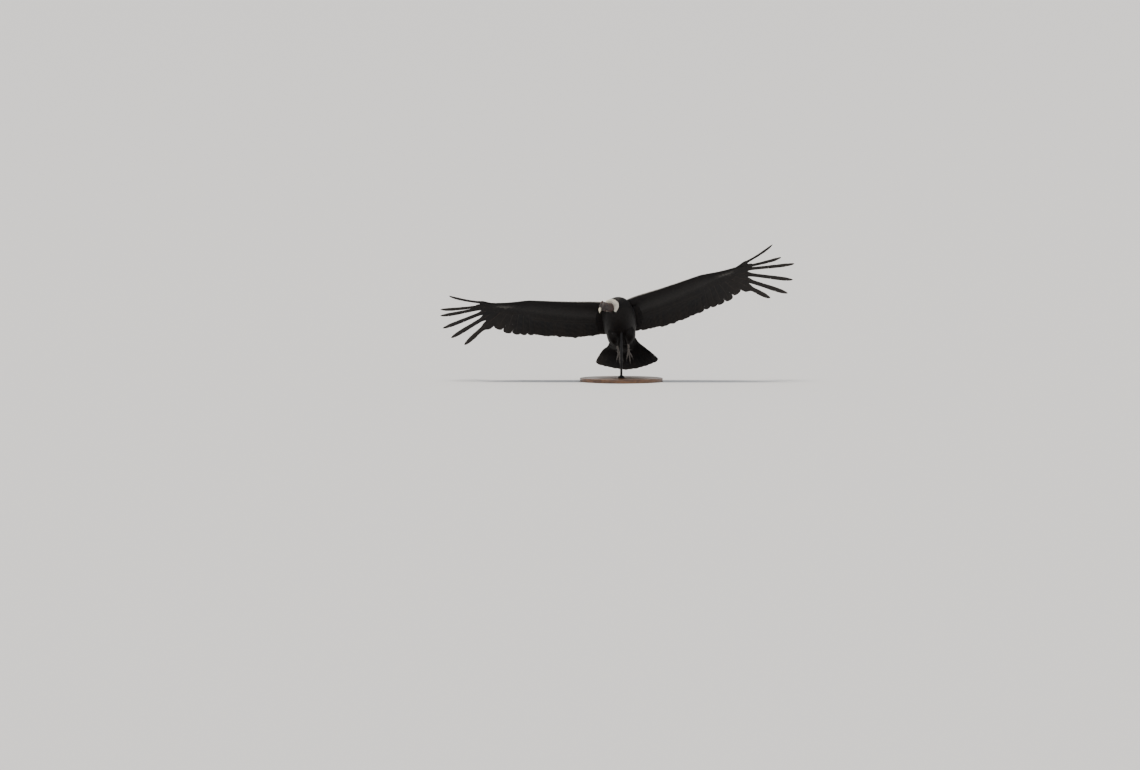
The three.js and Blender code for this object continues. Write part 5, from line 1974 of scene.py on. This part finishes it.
print("one plate has", len(BODY_VANE.starts), "faces")

# %% Feet and claws
FOOT_VOXEL = 1.6
PLATE_LENGTH = 7


def build_foot(name, side):
    draw = np.random.default_rng(50 + side)
    shank = limb_section(SHANK_PATH, SHANK_SIZES)
    forms = [tube("shank form", sided(shank, side), 24, 24)]
    claws, scutes = [], Coat()
    scute_row(scutes, draw, shank, 14, 0.8, 0.25, 0.96, side)
    for turn, length, half in TOES:
        toe = limb_section(toe_path(turn, length), toe_sizes(half))
        forms.append(tube("toe form", sided(toe, side), 20, 26))
        scute_row(scutes, draw, toe, round(length / PLATE_LENGTH), 0.75, 0.08, 0.97, side)
        claw = limb_section(claw_path(turn, length), claw_sizes(half))
        claws.append(tube("claw", sided(claw, side), 20, 20))
        tag_by_place(claws[-1], 0, 1, np.repeat(np.linspace(0, 1, 21), 20))
    foot = joined(f"foot_{name}_skin", forms)
    remesh(foot, FOOT_VOXEL, 2)
    dress(foot, FOOT_SKIN, (f"foot_{name}",), 180)
    plates = scutes.build(f"scutes_{name}", FOOT_SKIN, "foot_skin")
    plates.data.uv_layers.remove(plates.data.uv_layers["OFBake"])
    dress(joined(f"claws_{name}", claws), CLAW_HORN, [f"claw_{name}_{i}" for i in (1, 2, 3, 4)], 60)


for name, side in SIDES:
    build_foot(name, side)

# %% [markdown]
# ## Stand
# A turned walnut disc and one black rod. The disc starts as a cylinder, has its rim bevelled, and a
# shallow groove is sunk near its edge. The rod has a collar where it meets the wood. These two are
# measured from the solids, in metres.


# %% Turned pieces
def cylinder(name, sides, radius, low, high):
    piece = begin(
        name, bpy.ops.mesh.primitive_cylinder_add,
        vertices=sides, radius=radius, depth=high - low, location=(0, 0, (high + low) / 2),
    )
    bpy.ops.object.transform_apply()
    return piece


def stepped(piece, steps):
    """Inset the top face and move it, once for each step."""
    with editing(piece):
        choose_faces(piece, lambda middle, normal: normal.z > 0.9)
        for inset, rise in steps:
            bpy.ops.mesh.inset(thickness=inset)
            bpy.ops.transform.translate(value=(0, 0, rise))


def bevelled(piece, width, segments, from_angle):
    apply_modifier(
        piece, "BEVEL",
        width=width, segments=segments, limit_method="ANGLE", angle_limit=math.radians(from_angle),
    )


def round_solid(node):
    """Radius, lowest and highest point of a round solid."""
    low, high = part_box(node)
    radius = (high.x - low.x) / 2
    print(node, "from", round(low.z, 3), "to", round(high.z, 3), "m up, radius", round(radius, 4), "m")
    return radius, low.z, high.z


BASE_RADIUS, _, BASE_TOP = round_solid("stand_base")
ROD_RADIUS, ROD_FOOT, ROD_TOP = round_solid("stand_rod")

# %% Base and rod
# Each step is an inset of the top face and then its rise
GROOVE = ((0.006, 0), (0.03, 0), (0.0015, -0.002), (0.004, 0), (0.0015, 0.002), (0.24, 0))
COLLAR_RADIUS, COLLAR_HEIGHT = 0.026, 0.008
COLLAR_STEPS = ((0.008, 0.008), (0.005, 0.004))

base = cylinder("stand_disc", 128, BASE_RADIUS, 0, BASE_TOP)
stepped(base, GROOVE)
bevelled(base, 0.004, 4, 60)
dress(base, WALNUT, ("stand_base",), 35)

steel = cylinder("stand_rod_steel", 48, ROD_RADIUS, ROD_FOOT, ROD_TOP)
collar = cylinder("collar", 64, COLLAR_RADIUS, ROD_FOOT, ROD_FOOT + COLLAR_HEIGHT)
stepped(collar, COLLAR_STEPS)
rod = joined("stand_rod_steel", [steel, collar])
bevelled(rod, 0.0008, 2, 40)
dress(rod, BLACK_ENAMEL, ("stand_rod",), 35)

# %% [markdown]
# ## Floor and light
# A pale floor that rises gently far away, like a studio sweep in the round, so that no horizon cuts
# behind the bird. The key comes from high above, as the sun does in the photo, so it rims the wings'
# leading edges. A weaker one from the front lets the black underside keep its form.

# %% Floor
FLOOR_SIZE = 300
FLOOR_CELLS = 200
FLAT_RADIUS = 26
RISE = 0.002


def build_floor():
    floor = begin(
        "floor", bpy.ops.mesh.primitive_grid_add,
        x_subdivisions=FLOOR_CELLS, y_subdivisions=FLOOR_CELLS, size=FLOOR_SIZE,
    )
    points = points_of(floor)
    points[:, 2] = RISE * np.maximum(0, np.hypot(points[:, 0], points[:, 1]) - FLAT_RADIUS) ** 2
    set_points(floor, points)
    bpy.ops.object.shade_smooth()
    pale = linear("#d6d8da")  # painted board, too matt to mirror the stand
    floor.data.materials.append(
        new_finish("pale matt studio floor", Roughness=0.9, Specular_IOR_Level=0.1, Base_Color=pale)
    )
    return floor


build_floor()
print("the floor is flat for", FLAT_RADIUS, "m all round")


# %% Lights
def sun(name, comes_from, strength, spread, colour):
    data = bpy.data.lights.new(name, "SUN")
    data.energy = strength
    data.angle = math.radians(spread)
    data.color = linear(colour)[:3]
    light = bpy.data.objects.new(name, data)
    light.rotation_euler = Vector(comes_from).to_track_quat("Z", "Y").to_euler()
    bpy.context.scene.collection.objects.link(light)
    print(name, strength, "W per square metre")


sun("soft key from above", (-0.15, 0.12, 1), 3.8, 20, "#fff4e6")
sun("weak fill from the front", (0.5, -1, 0.35), 0.35, 60, "#eef3ff")
world = bpy.data.worlds.new("studio air")
world.use_nodes = True
backdrop = world.node_tree.nodes["Background"]
backdrop.inputs["Color"].default_value = linear("#e6e9ee")
backdrop.inputs["Strength"].default_value = 0.7
bpy.context.scene.world = world
